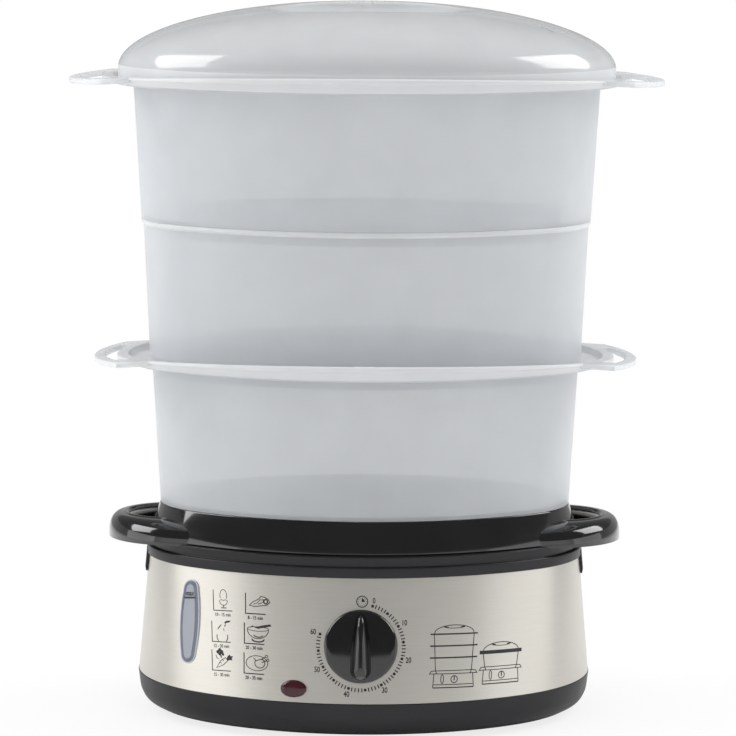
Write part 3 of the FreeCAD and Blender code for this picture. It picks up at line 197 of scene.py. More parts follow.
def tidy(obj, sharp=SHARP):
    """Merges equal points, turns the faces outward and marks the sharp edges."""
    mesh = obj.data
    work = bmesh.new()
    work.from_mesh(mesh)
    bmesh.ops.remove_doubles(work, verts=work.verts, dist=MERGE)
    bmesh.ops.recalc_face_normals(work, faces=work.faces)
    work.to_mesh(mesh)
    work.free()
    mesh.shade_smooth()
    mesh.set_sharp_from_angle(angle=radians(sharp))


SOFT_STEPS, SIDE_LIMIT = 4, 0.49


def soft(points):
    """A closed outline with rounded corners; a point may carry its own radius as a third value."""
    result = []
    for index, point in enumerate(points):
        corner = Vector(point[:2])
        radius = point[2] if len(point) > 2 else 0
        if not radius:
            result.append(tuple(corner))
            continue
        before = Vector(points[index - 1][:2]) - corner
        after = Vector(points[(index + 1) % len(points)][:2]) - corner
        half = before.angle(after) / 2
        room = SIDE_LIMIT * min(before.length, after.length)
        reach = min(radius / tan(half), room)
        radius = reach * tan(half)
        centre = corner + (before.normalized() + after.normalized()).normalized() * (radius / sin(half))
        start = corner + before.normalized() * reach - centre
        stop = corner + after.normalized() * reach - centre
        swing = start.angle_signed(stop)
        for k in range(SOFT_STEPS + 1):
            turn = Matrix.Rotation(-swing * k / SOFT_STEPS, 2)
            result.append(tuple(centre + turn @ start))
    return result


def grid_faces(rows, count, wrap=True):
    """Quads between rows that are closed rings of count points; wrap joins the last row to the first."""
    faces = []
    for i in range(rows if wrap else rows - 1):
        k = (i + 1) % rows
        for j in range(count):
            l = (j + 1) % count
            faces.append((i * count + j, i * count + l, k * count + l, k * count + j))
    return faces


def moved(points, matrix):
    return [matrix @ point for point in points] if matrix else points


def sweep(name, oval, outline, shape=None):
    """A closed outline of (half width, height) points, carried round an oval."""
    verts = []
    for phi in PHIS:
        for half_width, z in outline:
            point = oval_point(oval, phi, z, half_width - oval[0])
            verts.append(shape(point) if shape else point)
    return make(name, verts, grid_faces(len(PHIS), len(outline)))


def slab(name, top, bottom):
    """A closed piece between a top ring and a bottom ring."""
    count = len(top)
    faces = [tuple(range(count)), tuple(range(2 * count - 1, count - 1, -1))]
    for i in range(count):
        j = (i + 1) % count
        faces.append((i, count + i, count + j, j))
    return make(name, top + bottom, faces)


def oval_disc(name, oval, low, high):
    """A flat oval plate."""
    return slab(name, *([oval_point(oval, phi, z) for phi in PHIS] for z in (high, low)))


def prism(outline, low, high, matrix=None):
    """A cutter: a closed flat outline pushed along the local z axis."""
    rings = (moved([Vector((x, y, z)) for x, y in outline], matrix) for z in (high, low))
    return slab("cutter", *rings)


def turned(name, outline, matrix=None, steps=96, sharp=SHARP):
    """An outline of (radius, height) points turned about the local z axis."""
    count = len(outline)
    turns = [2 * pi * i / steps for i in range(steps)]
    verts = [Vector((r * cos(turn), r * sin(turn), z)) for turn in turns for r, z in outline]
    faces = []
    for i in range(steps):
        k = (i + 1) % steps
        for j in range(count - 1):
            faces.append((i * count + j, k * count + j, k * count + j + 1, i * count + j + 1))
        if outline[0][0] > 0 and outline[-1][0] > 0:
            faces.append((i * count + count - 1, k * count + count - 1, k * count, i * count))
    return make(name, moved(verts, matrix), faces, sharp)


def join(objects, name):
    """Joins meshes that are already in place into the first one."""
    work = bmesh.new()
    for obj in objects:
        work.from_mesh(obj.data)
    mesh = bpy.data.meshes.new(name)
    work.to_mesh(mesh)
    work.free()
    for obj in objects:
        bpy.data.objects.remove(obj)
    return linked(name, mesh)


def carve(obj, cutters, sharp=SHARP):
    """Cuts the given meshes out of a mesh."""
    tool = join(cutters, "cutter")
    modifier = obj.modifiers.new("cut", "BOOLEAN")
    modifier.object = tool
    modifier.solver = "EXACT"
    modifier.use_self = True
    mesh = evaluated_mesh(obj)
    obj.modifiers.clear()
    obj.data = mesh
    bpy.data.objects.remove(tool)
    tidy(obj, sharp)
    return obj


def pill_outline(width, height, steps=8):
    """A slot with round ends."""
    radius = width / 2
    reach = height / 2 - radius
    points = []
    for start, middle in ((0, reach), (pi, -reach)):
        for k in range(steps + 1):
            turn = start + pi * k / steps
            points.append((radius * cos(turn), middle + radius * sin(turn)))
    return points


BOW_STEPS = 12


def bowed_outline(margin):
    """The level window's outline: bowed sides between round ends."""
    width, height, end = (size + 2 * margin for size in WINDOW_SIZE)
    half, root, shoulder = width / 2, end / 2, (height - end) / 2
    bow = half - root
    radius = (shoulder ** 2 + bow ** 2) / (2 * bow)
    span = asin(shoulder / radius)
    points = []
    for side in (1, -1):
        for k in range(BOW_STEPS + 1):
            turn = span * (2 * k / BOW_STEPS - 1)
            points.append((side * (half - radius + radius * cos(turn)), side * radius * sin(turn)))
        for k in range(1, BOW_STEPS):
            turn = pi * k / BOW_STEPS
            points.append((side * root * cos(turn), side * (shoulder + root * sin(turn))))
    return points


def circle_outline(radius_x, radius_y=None, steps=48):
    """A circle or an ellipse."""
    turns = [2 * pi * k / steps for k in range(steps)]
    return [(radius_x * cos(t), (radius_y or radius_x) * sin(t)) for t in turns]


def stacked(name, outlines, matrix=None, sharp=SHARP, close=True):
    """Skins a pile of (outline, height) rings that have the same number of points."""
    count = len(outlines[0][0])
    verts = [Vector((x, y, z)) for outline, z in outlines for x, y in outline]
    faces = grid_faces(len(outlines), count, wrap=False)
    if close:
        last = len(verts) - count
        faces.append(tuple(range(count - 1, -1, -1)))
        faces.append(tuple(range(last, last + count)))
    return make(name, moved(verts, matrix), faces, sharp)


def shifted(outline, x, y):
    return [(a + x, b + y) for a, b in outline]


# ---- materials
NOISE_LOW, NOISE_HIGH = 0.3, 0.7  # where most of the noise lies
CLOUD_SCALE, GRAIN_SCALE, GRAIN_DETAIL = 40, 900, 2
GRAIN_DEPTH, LINE_DEPTH = 0.0002, 0.0001  # metres
LINE_DETAIL, LINE_ROUGHNESS, LINE_STRENGTH = 6, 0.7, 0.12
FACING_BLEND = 0.35


def nodes_of(name):
    material = bpy.data.materials.new(name)
    material.use_nodes = True
    tree = material.node_tree
    return material, tree, tree.nodes["Principled BSDF"]


def feed(tree, shader, *values, **named):
    """Sets inputs of a node, by place or by name with _ for a space; a socket is linked."""
    named = {key.replace("_", " "): value for key, value in named.items()}
    for key, value in (dict(enumerate(values)) | named).items():
        if isinstance(value, bpy.types.NodeSocket):
            tree.links.new(value, shader.inputs[key])
        else:
            shader.inputs[key].default_value = value


def node(tree, kind, *values, **named):
    """A new shader node with some of its inputs fed."""
    made = tree.nodes.new("ShaderNode" + kind)
    feed(tree, made, *values, **named)
    return made


def texture(tree, scale, stretch=(1, 1, 1), detail=4, roughness=0.5):
    """Noise in object space."""
    place = node(tree, "TexCoord").outputs["Object"]
    mapping = node(tree, "Mapping", place, Scale=stretch).outputs["Vector"]
    noise = node(tree, "TexNoise", mapping, Scale=scale, Detail=detail, Roughness=roughness)
    return noise.outputs["Fac"]


def ranged(tree, value, low, high, near=NOISE_LOW, far=NOISE_HIGH):
    """Maps near..far of a value to low..high."""
    return node(tree, "MapRange", value, near, far, low, high).outputs["Result"]


def tinted(tree, value, dark, light):
    ramp = node(tree, "ValToRGB", value)
    for stop, place, colour in zip(ramp.color_ramp.elements, (NOISE_LOW, NOISE_HIGH), (dark, light)):
        stop.position = place
        stop.color = (*colour, 1)
    return ramp.outputs["Color"]


def bumped(tree, shader, value, strength, distance):
    bump = node(tree, "Bump", Height=value, Strength=strength, Distance=distance)
    feed(tree, shader, Normal=bump.outputs["Normal"])


def plastic(name, dark, light, rough, grain=0.05, alpha=None, **sockets):
    """Moulded plastic: slightly uneven colour and gloss over a fine grain."""
    material, tree, shader = nodes_of(name)
    cloud = texture(tree, CLOUD_SCALE)
    feed(tree, shader, Base_Color=tinted(tree, cloud, dark, light), Roughness=ranged(tree, cloud, *rough),
         **sockets)
    if grain:
        bumped(tree, shader, texture(tree, GRAIN_SCALE, detail=GRAIN_DETAIL), grain, GRAIN_DEPTH)
    if alpha:
        facing = node(tree, "LayerWeight", FACING_BLEND).outputs["Facing"]
        feed(tree, shader, Alpha=ranged(tree, facing, *alpha, 0, 1))
    return material


def brushed(name, dark, light, rough, stretch, strength=LINE_STRENGTH):
    """Metal brushed along one direction."""
    material, tree, shader = nodes_of(name)
    lines = texture(tree, 1, stretch, LINE_DETAIL, LINE_ROUGHNESS)
    feed(tree, shader, Base_Color=tinted(tree, lines, dark, light), Roughness=ranged(tree, lines, *rough),
         Metallic=1)
    bumped(tree, shader, lines, strength, LINE_DEPTH)
    return material


def grey(value):
    return (value, value, value)


# material slot: name, darker and lighter colour, roughness from and to
MATERIALS = {
    "black_moulding": plastic(
        "satin_charcoal", (0.009, 0.009, 0.0105), (0.013, 0.013, 0.015),
        (0.34, 0.44), grain=0.08, Specular_IOR_Level=0.35),
    "tray_black": plastic(
        "gloss_black", (0.003, 0.003, 0.0035), (0.005, 0.005, 0.0055),
        (0.1, 0.14), grain=0.01, Coat_Weight=1, Coat_Roughness=0.05, Coat_IOR=1.5),
    "knob_black": plastic(
        "knob_black", (0.004, 0.004, 0.0045), (0.006, 0.006, 0.0065),
        (0.06, 0.09), grain=0, Coat_Weight=0.45, Coat_Roughness=0.03, Coat_IOR=1.6),
    "basket_clear": plastic(
        "frosted_plastic", (0.68, 0.7, 0.725), (0.72, 0.74, 0.765), (0.32, 0.42), grain=0,
        alpha=(0.48, 0.86), Transmission_Weight=0.15, IOR=1.35),
    "lid_clear": plastic(
        "lid_plastic", (0.68, 0.695, 0.71), (0.72, 0.735, 0.75), (0.1, 0.14), grain=0,
        alpha=(0.5, 0.86), Coat_Weight=0.8, Coat_Roughness=0.03, Coat_IOR=1.6),
    # rim copy of the frosted plastic: more opaque, and lighter as painted light against the shade in the
    # gutters and under the lid
    "basket_rim": plastic(
        "frosted_rim_painted_light", (0.76, 0.775, 0.79), (0.8, 0.815, 0.83), (0.2, 0.28), grain=0, alpha=(0.6, 0.9)),
    # floor plastic: lighter than the wall plastic as painted light, standing in for the light that reaches
    # the floors through the frosted walls
    "floor_grid": plastic(
        "floor_plastic_painted_light", (0.74, 0.76, 0.78), (0.78, 0.8, 0.82), (0.35, 0.45), grain=0, alpha=(0.48, 0.7)),
    "ring_white": plastic("ring_white", (0.7, 0.7, 0.68), (0.76, 0.76, 0.74), (0.4, 0.5)),
    "lens_red": plastic("lens_red", (0.036, 0.006, 0.01), (0.058, 0.009, 0.014), (0.1, 0.16), grain=0.03),
    "window_clear": plastic(
        "window_blue", (0.29, 0.315, 0.36), (0.33, 0.355, 0.405), (0.2, 0.28), grain=0, alpha=(0.9, 0.96)),
    "rubber_black": plastic("rubber_black", grey(0.02), grey(0.032), (0.75, 0.9), grain=0.2),
    "silicone_grey": plastic("silicone_grey", grey(0.4), grey(0.48), (0.55, 0.7), grain=0.1),
    "insulator_white": plastic(
        "insulator_white", (0.66, 0.65, 0.62), (0.74, 0.73, 0.7), (0.55, 0.7), grain=0.1),
    "bulb_glass": plastic(
        "bulb_glass", (0.7, 0.45, 0.35), (0.8, 0.55, 0.42), (0.05, 0.1), grain=0, alpha=(0.45, 0.8)),
    "brushed_steel": brushed(
        "brushed_steel", (0.61, 0.588, 0.54), (0.67, 0.648, 0.6), (0.32, 0.38),
        (60, 60, 3200), strength=0.03),
    "heater_alloy": brushed(
        "heater_alloy", (0.55, 0.55, 0.56), (0.7, 0.7, 0.71), (0.3, 0.42), (300, 300, 60)),
    "tube_steel": brushed("tube_steel", (0.3, 0.3, 0.31), (0.44, 0.44, 0.45), (0.35, 0.5), grey(200)),
    "zinc_steel": brushed("zinc_steel", (0.5, 0.5, 0.48), (0.64, 0.64, 0.61), (0.25, 0.38), grey(400)),
    "bell_steel": brushed("bell_steel", grey(0.62), grey(0.74), (0.12, 0.2), grey(300)),
}
PRINT = plastic("black_print", grey(0.012), grey(0.02), (0.45, 0.55), grain=0)
RIM = plastic("window_rim", (0.4, 0.42, 0.46), (0.46, 0.48, 0.52), (0.12, 0.2), grain=0)
GROOVE = plastic("window_bevel", (0.11, 0.127, 0.17), (0.135, 0.152, 0.2), (0.16, 0.24), grain=0)

slots = {item["node"]: item["material_slot"] for item in frame["record"]["subparts"]}
for name, obj in nodes.items():
    obj.data.materials.clear()
    obj.data.materials.append(MATERIALS[slots[name]])


def dress(obj, body, part, material=None, replaced=True):
    """Gives a new piece its material, body and slot, and lets it stand for its CAD node."""
    obj.data.materials.clear()
    obj.data.materials.append(material or MATERIALS[slots[part]])
    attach(obj, body)
    if replaced:
        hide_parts(part)
    return obj


def frost(obj, is_rim):
    """Gives the faces of a rim the denser rim plastic, whose lighter colour is painted light against the
    shade at the rim; heights are in millimetres.
    """
    obj.data.materials.append(MATERIALS["basket_rim"])
    for face in obj.data.polygons:
        face.material_index = 1 if is_rim(face.center.z / MM) else 0


# ---- base
PANEL = band_frame(*KNOB_PLACE)
LAMP = band_frame(*LAMP_PLACE)
WINDOW = band_frame(*WINDOW_PLACE) @ Matrix.Rotation(radians(WINDOW_TURN), 4, "Z")
BUSH = band_frame(*BUSH_PLACE, rear=True)

# Profiles are points of half width and height; a third value rounds the corner.
PLINTH_FLOOR_X, PLINTH_FLOOR = 116.1, (2.8, 5.8)
PLINTH_PROFILE = [
    (PLINTH_FLOOR_X, 2.8), (118.5, 2.8, 1.5), (124.6, 6, 8), (127.4, 11.5, 12), (128.7, 22, 0.6),
    (125.6, 22), (125.6, 27, 0.4), (123.8, 27, 0.4), (123.8, 11.5), (122.2, 8.4), (118.5, 5.8),
    (PLINTH_FLOOR_X, 5.8),
]
SLOT_ROWS, SLOT_PITCH, SLOT_SIZE, SLOT_TOP = (-24, 24), 9, (3, 18), 9
POST_BORE, POST_BORE_TOP, POST_STEPS = 3.2, 4.9, 24


def plinth():
    shell = sweep("plinth_shell", BAND_LOW, soft(PLINTH_PROFILE))
    floor = oval_disc("plinth_floor", at_width(PLINTH_FLOOR_X, BAND_LOW), *PLINTH_FLOOR)
    cutters = []
    for row in SLOT_ROWS:
        for step in range(-3, 4):
            cutters.append(prism(shifted(pill_outline(*SLOT_SIZE), step * SLOT_PITCH, row), 0, SLOT_TOP))
    for post in POSTS:
        bore = shifted(circle_outline(POST_BORE, steps=POST_STEPS), *post)
        cutters.append(prism(bore, 0, POST_BORE_TOP))
    carve(floor, cutters)
    return dress(join([shell, floor], "plinth_moulding"), "base", "plinth")


BAND_ROWS, BAND_CUT = 12, (-5, 5)
WINDOW_GAP, LAMP_HOLE, SHAFT_HOLE, BUSH_HOLE = 0.2, (6.6, 4.1), 5, 7.1


def steel_band():
    levels = [BAND_LOW_Z + (BAND_HIGH_Z - BAND_LOW_Z) * k / BAND_ROWS for k in range(BAND_ROWS + 1)]
    outline = [(0, z) for z in levels] + [(-BAND_WALL, z) for z in reversed(levels)]
    verts = [oval_point(band_oval(z), phi, z, inset) for phi in PHIS for inset, z in outline]
    band = make("steel_wrapper", verts, grid_faces(len(PHIS), len(outline)))
    carve(band, [
        prism(bowed_outline(WINDOW_GAP), *BAND_CUT, WINDOW),
        prism(circle_outline(*LAMP_HOLE), *BAND_CUT, LAMP),
        prism(circle_outline(SHAFT_HOLE), *BAND_CUT, PANEL),
        prism(circle_outline(BUSH_HOLE), *BAND_CUT, BUSH),
    ])
    return dress(band, "base", "steel_band")


TAB_LOW, TAB_RISE, TAB_HALF, TAB_SPREAD = 78, 13.5, 7, 2
TAB_GAP, TAB_WALL, TAB_EDGE = 0.15, 1.5, 0.6
TAB_COLUMNS, TAB_ROWS = 24, 6


def end_tab(side):
    """Tab of the collar that lies over the end of the steel."""
    columns, rows = TAB_COLUMNS, TAB_ROWS
    verts, at = [], {}
    for skin in (0, 1):
        for r in range(rows + 1):
            z = TAB_LOW + TAB_RISE * r / rows
            half = TAB_HALF + TAB_SPREAD * r / rows
            wall = (TAB_WALL if skin else 0) - (TAB_EDGE if skin and r == 0 else 0)
            oval = grow(band_oval(z), TAB_GAP + wall)
            radius = arc_at(oval, 0)[2]
            for c in range(columns + 1):
                y = half * (2 * c / columns - 1)
                point = oval_point(oval, degrees(asin(y / radius)), z)
                point.x *= side
                at[skin, r, c] = len(verts)
                verts.append(point)
    faces = [(at[skin, r, c], at[skin, r, c + 1], at[skin, r + 1, c + 1], at[skin, r + 1, c])
             for skin in (0, 1) for r in range(rows) for c in range(columns)]
    faces += [(at[0, r, c], at[0, r, c + 1], at[1, r, c + 1], at[1, r, c])
              for c in range(columns) for r in (0, rows)]
    faces += [(at[0, r, c], at[0, r + 1, c], at[1, r + 1, c], at[1, r, c])
              for r in range(rows) for c in (0, columns)]
    return make("end_tab", verts, faces)


TANK_FLOOR_X, TANK_FLOOR = 87.8, (31.8, 34)
TANK_PROFILE = [
    (123.6, 88.5, 0.5), (123.6, 94.3, 0.9), (121.7, 94.5, 0.3), (122.3, 98.6, 1.5), (122.7, 99.9, 0.4),
    (112, 99.9, 0.6), (90, 34, 4), (TANK_FLOOR_X, 34), (TANK_FLOOR_X, 31.8), (92, 31.8, 3),
    (113.5, 97.6), (119.5, 97.6), (119.5, 83.5), (121.3, 83.5), (121.3, 88.5),
]
HEATER_HOLE, HEATER_STEPS, HEATER_CUT = 31, 72, (20, 40)


def tank():
    shell = sweep("tank_shell", BAND_HIGH, soft(TANK_PROFILE))
    floor = oval_disc("tank_floor", at_width(TANK_FLOOR_X, BAND_HIGH), *TANK_FLOOR)
    carve(floor, [prism(circle_outline(HEATER_HOLE, steps=HEATER_STEPS), *HEATER_CUT)])
    pieces = [shell, floor, end_tab(1), end_tab(-1)]
    return dress(join(pieces, "tank_moulding"), "base", "tank_body")


LENS_NECK, LENS_FACE, LENS_BACK, LENS_SEAT = (6.3, 3.8), (7.3, 4.8), -7, 0.1
LENS_EDGE, LENS_RISE, LENS_FULLNESS, LENS_RINGS = 0.8, 2, 0.6, 9


def lens():
    rings = [(circle_outline(*LENS_NECK), LENS_BACK), (circle_outline(*LENS_NECK), LENS_SEAT),
             (circle_outline(*LENS_FACE), LENS_SEAT), (circle_outline(*LENS_FACE), LENS_EDGE)]
    for k in range(1, LENS_RINGS):
        turn = pi / 2 * k / LENS_RINGS
        size = cos(turn) ** LENS_FULLNESS
        rings.append((circle_outline(*(radius * size for radius in LENS_FACE)),
                      LENS_EDGE + LENS_RISE * sin(turn)))
    return dress(stacked("lamp_lens", rings, LAMP, sharp=50), "base", "pilot_lens")


# rings of the window: margin round its outline, and height off the steel
WINDOW_RIM = [(0.45, -0.6), (0.45, 0.25), (0.2, 0.45), (-0.25, 0.45), (-0.35, 0.2)]
WINDOW_BEVEL = [(-0.25, 0.1), (-0.35, 0.35), (-2.1, 0.7), (-2.3, 0.5)]
WINDOW_FACE = [
    (-1.4, -7.6), (-1.4, -0.4), (-2.2, 0.4), (-2.2, 0.75), (-2.45, 1), (-2.8, 0.95), (-3.6, 0.85),
]


def window():
    """Water-level window: a light rim, a smoky bevel and a clear raised face."""
    for name, rings, material in (
        ("window_rim", WINDOW_RIM, RIM), ("window_bevel", WINDOW_BEVEL, GROOVE),
        ("window_face", WINDOW_FACE, None),
    ):
        outlines = [(bowed_outline(margin), z) for margin, z in rings]
        piece = stacked(name, outlines, WINDOW, sharp=40, close=not material)
        dress(piece, "base", "level_window", material, replaced=not material)


plinth()
steel_band()
tank()
lens()
window()


# ---- timer knob
DISC_PROFILE = [  # radius, height; hollow below for the screw heads
    (0, 4.8), (17, 4.8), (17.4, 4.4), (17.8, 1.2), (18.2, 1), (20, 1), (20.3, 1.3), (20.3, 4.6),
    (20.2, 5.2), (19.9, 5.8), (19.5, 6.25), (19, 6.6), (18.4, 6.75), (17, 6.85), (14, 7),
    (11, 7.12), (8, 7.21), (4, 7.27), (0, 7.3),
]
GRIP_RINGS = [  # half width, top, low centre, height
    (5.75, 17.5, -13, 6.3), (5.65, 17.4, -13.1, 7.2), (5.1, 17, -13.3, 8.3), (4.4, 16.4, -13.6, 9.6),
    (4, 15.9, -13.8, 10.7), (3.7, 15, -14, 11.7), (3.35, 12.8, -14, 12.6), (2.75, 9.4, -13.9, 13.5),
    (2.05, 6.4, -13.8, 14.15), (1.3, 3.6, -13.6, 14.55), (0.7, 1.5, -13.3, 14.72), (0.1, -1, -12.8, 14.8),
]
GRIP_STEPS, GRIP_END_STEPS, GRIP_SPACING, GRIP_FULLNESS, GRIP_TIP = 40, 20, 1.6, 0.38, 0.01
DISC_STEPS = 128


def boat(half, top, low):
    """Grip outline: a blunt point at the top, widest low down, round at the bottom."""
    right = []
    for k in range(GRIP_STEPS + 1):
        share = (k / GRIP_STEPS) ** GRIP_SPACING
        width = half * sin(pi / 2 * share) ** GRIP_FULLNESS
        right.append((max(width, GRIP_TIP), top + (low - top) * share))
    bottom = []
    for k in range(1, GRIP_END_STEPS):
        turn = -pi * k / GRIP_END_STEPS
        bottom.append((half * cos(turn), low + half * sin(turn)))
    left = [(-x, y) for x, y in reversed(right)]
    return right + bottom + left[:-1]


def knob():
    disc = turned("knob_disc", DISC_PROFILE, PANEL, steps=DISC_STEPS, sharp=60)
    rings = [(boat(half, top, low), z) for half, top, low, z in GRIP_RINGS]
    grip = stacked("knob_grip", rings, PANEL, sharp=60)
    piece = join([disc, grip], "knob_moulding")
    tidy(piece, 50)
    return dress(piece, "timer_knob", "timer_knob")


knob()


# ---- drip tray
VISOR_TIP, VISOR_RADIUS, VISOR_TOP_RADIUS = 145.7, 47, 27
VISOR_LOW, VISOR_TOP, VISOR_WALL, VISOR_LEAN = 98.4, 111.5, 3, 8.7
VISOR_ARCH, VISOR_POWER = 1600, 2.6
VISOR_ROOF = 0.14  # thickness of its top as a share of its height
VISOR_RIM = [(1, 1.03, 0.7), (1, 1.03, 1.5), (1, 1, VISOR_WALL - 0.6)]
VISOR_BURIED, VISOR_END = 1.2, -0.6
VISOR_STEPS, VISOR_ROWS = 14, 72
TRAY_END_X = arc_at(TRAY_RIM, 0)[0]
TRAY_FOOT_X, TRAY_FLOOR_X, TRAY_FLOOR = 122.9, 96.1, (100, 102.4)
TRAY_PROFILE = [
    (TRAY_FOOT_X, 100, 0.7), (120.6, 105.6, 1.5), (116.2, 118, 0.9), (113.8, 118, 0.6),
    (119.3, 102.4, 3), (TRAY_FLOOR_X, 102.4), (TRAY_FLOOR_X, 100),
]
CHIMNEY_HOLE, CHIMNEY_STEPS, CHIMNEY_CUT = 39, 96, (90, 110)
CHIMNEY_PROFILE = [
    (39.5, 100), (40.2, 101), (37.4, 113.1), (36.6, 113.6), (35.6, 113.4), (35.2, 112.9), (38.2, 100),
]
TANK_MOUTH_X = 112
SPIGOT_PROFILE = [(111.4, 100.2), (108.1, 100.2), (108.05, 97), (110.35, 97)]


def tray_wall_x(z):
    """Half width of the tray's outer wall at a height."""
    share = max(0, z - COLLAR_Z) / (TRAY_RIM_Z - COLLAR_Z)
    return TRAY_FOOT_X + (TRAY_RIM[0] - TRAY_FOOT_X) * share


def visor(side):
    """Handle visor, open above, with an arched lower edge; its ends are buried in the tray wall."""
    outer = []
    for k in range(VISOR_STEPS + 1):
        height = sin(pi / 2 * k / VISOR_STEPS)
        outer.append((1 - max(0, 1 - height ** VISOR_POWER) ** (1 / VISOR_POWER), height, 0))
    roof = [(lean, height - VISOR_ROOF, VISOR_WALL) for lean, height, _ in outer if height > VISOR_ROOF]
    profile = outer + VISOR_RIM + roof[::-1] + [(0, 0, VISOR_WALL)]
    verts = []
    for i in range(VISOR_ROWS + 1):
        for lean, height, inset in profile:
            z = VISOR_LOW + (VISOR_TOP - VISOR_LOW) * height
            radius = VISOR_RADIUS + (VISOR_TOP_RADIUS - VISOR_RADIUS) * lean
            centre = VISOR_TIP - VISOR_LEAN * lean - radius
            radius -= inset
            wall = tray_wall_x(z) - VISOR_BURIED - TRAY_END_X
            offset = centre - TRAY_END_X
            limit = (wall ** 2 - offset ** 2 - radius ** 2) / (2 * offset * radius)
            limit = acos(max(VISOR_END, min(1, limit)))
            turn = limit * (2 * i / VISOR_ROWS - 1)
            x = centre + radius * cos(turn)
            y = radius * sin(turn)
            arch = VISOR_ARCH - sqrt(VISOR_ARCH ** 2 - y ** 2)
            z += arch * (1 - min(1, height))
            verts.append((side * x, y, z))
    count = len(profile)
    faces = grid_faces(VISOR_ROWS + 1, count, wrap=False)
    faces.append(tuple(range(count)))
    faces.append(tuple(range(VISOR_ROWS * count, VISOR_ROWS * count + count)))
    return make("visor", verts, faces, 50)


def tray():
    wall = sweep("tray_wall", TRAY_RIM, soft(TRAY_PROFILE))
    floor = oval_disc("tray_floor", at_width(TRAY_FLOOR_X), *TRAY_FLOOR)
    carve(floor, [prism(circle_outline(CHIMNEY_HOLE, steps=CHIMNEY_STEPS), *CHIMNEY_CUT)])
    chimney = turned("tray_chimney", CHIMNEY_PROFILE)
    spigot = sweep("tray_spigot", at_width(TANK_MOUTH_X, BAND_HIGH), SPIGOT_PROFILE)
    dress(visor(1), "drip_tray", "handle_right").name = "visor_right"
    dress(visor(-1), "drip_tray", "handle_left").name = "visor_left"
    return dress(join([wall, floor, chimney, spigot], "tray_moulding"), "drip_tray", "drip_tray")


tray()


# ---- baskets
def crowned(lip, shelf):
    """Bends what stands above the shelf so that the rim sinks towards its ends."""
    def shape(point):
        above = (point.z - shelf - BASKET_WALL) / (RIM_CREST - BASKET_WALL)
        if above > 0:
            point.z -= droop(point.x, lip) * min(above, 1)
        return point
    return shape


def droop(x, lip):
    return RIM_DROOP * (x / lip) ** 2


LUG_HALF, LUG_BAR, LUG_OPENING, LUG_STEPS = 47, 5, 34, 48
LUG_BURIED, LUG_INNER_GAP, LUG_LEAST = 0.6, 2.4, 0.4
LUG_HALF_THICK, LUG_ROUND, LUG_ROUND_STEPS, LUG_DROP = 0.9, 0.6, 3, 1.5


def lug_outlines(lip, reach):
    """Outer and inner outline of a crescent lug, at the right-hand end."""
    out = reach - lip
    radius = (LUG_HALF ** 2 + out ** 2) / (2 * out)
    centre = reach - radius
    end_x, _, end_radius = arc_at(at_width(lip - LUG_BURIED), 0)

    def inner_x(y, shift):
        return end_x + sqrt(max(0, (end_radius + shift) ** 2 - y * y))

    outer, back, hole, far = [], [], [], []
    for k in range(LUG_STEPS + 1):
        share = 1 - 2 * k / LUG_STEPS
        y = LUG_HALF * share
        outer.append((centre + sqrt(radius ** 2 - y * y), y))
        back.append((inner_x(-y, 0), -y))
        y = LUG_OPENING * share
        x_out = centre + sqrt(max(0, (radius - LUG_BAR) ** 2 - y * y))
        x_in = inner_x(y, LUG_INNER_GAP)
        if x_out - x_in > LUG_LEAST:
            hole.append((x_out, y))
            far.append((x_in, y))
    return outer + back, hole + far[::-1]


def lug(side, lip, reach, crest):
    """Crescent lug with a finger opening, cut from a flat plate and bent to the crown."""
    curve = bpy.data.curves.new("lug", "CURVE")
    curve.dimensions = "2D"
    curve.fill_mode = "BOTH"
    curve.extrude = LUG_HALF_THICK * MM
    curve.bevel_depth = LUG_ROUND * MM
    curve.bevel_resolution = LUG_ROUND_STEPS
    for outline in lug_outlines(lip, reach):
        spline = curve.splines.new("POLY")
        spline.points.add(len(outline) - 1)
        spline.use_cyclic_u = True
        for point, (x, y) in zip(spline.points, outline):
            point.co = (side * x * MM, y * MM, 0, 1)
    flat = linked("lug", curve)
    mesh = evaluated_mesh(flat)
    bpy.data.objects.remove(flat)
    for vertex in mesh.vertices:
        vertex.co.z += (crest - LUG_DROP - droop(vertex.co.x / MM, lip)) * MM
    piece = linked("lug", mesh)
    tidy(piece, 50)
    return piece


SKIRT_GAP, SKIRT_DEPTH = 0.4, 8
RIM_FROM, EDGE_FROM = 1, -3.2  # where the denser rim plastic starts, off the top height; its lighter colour is painted light


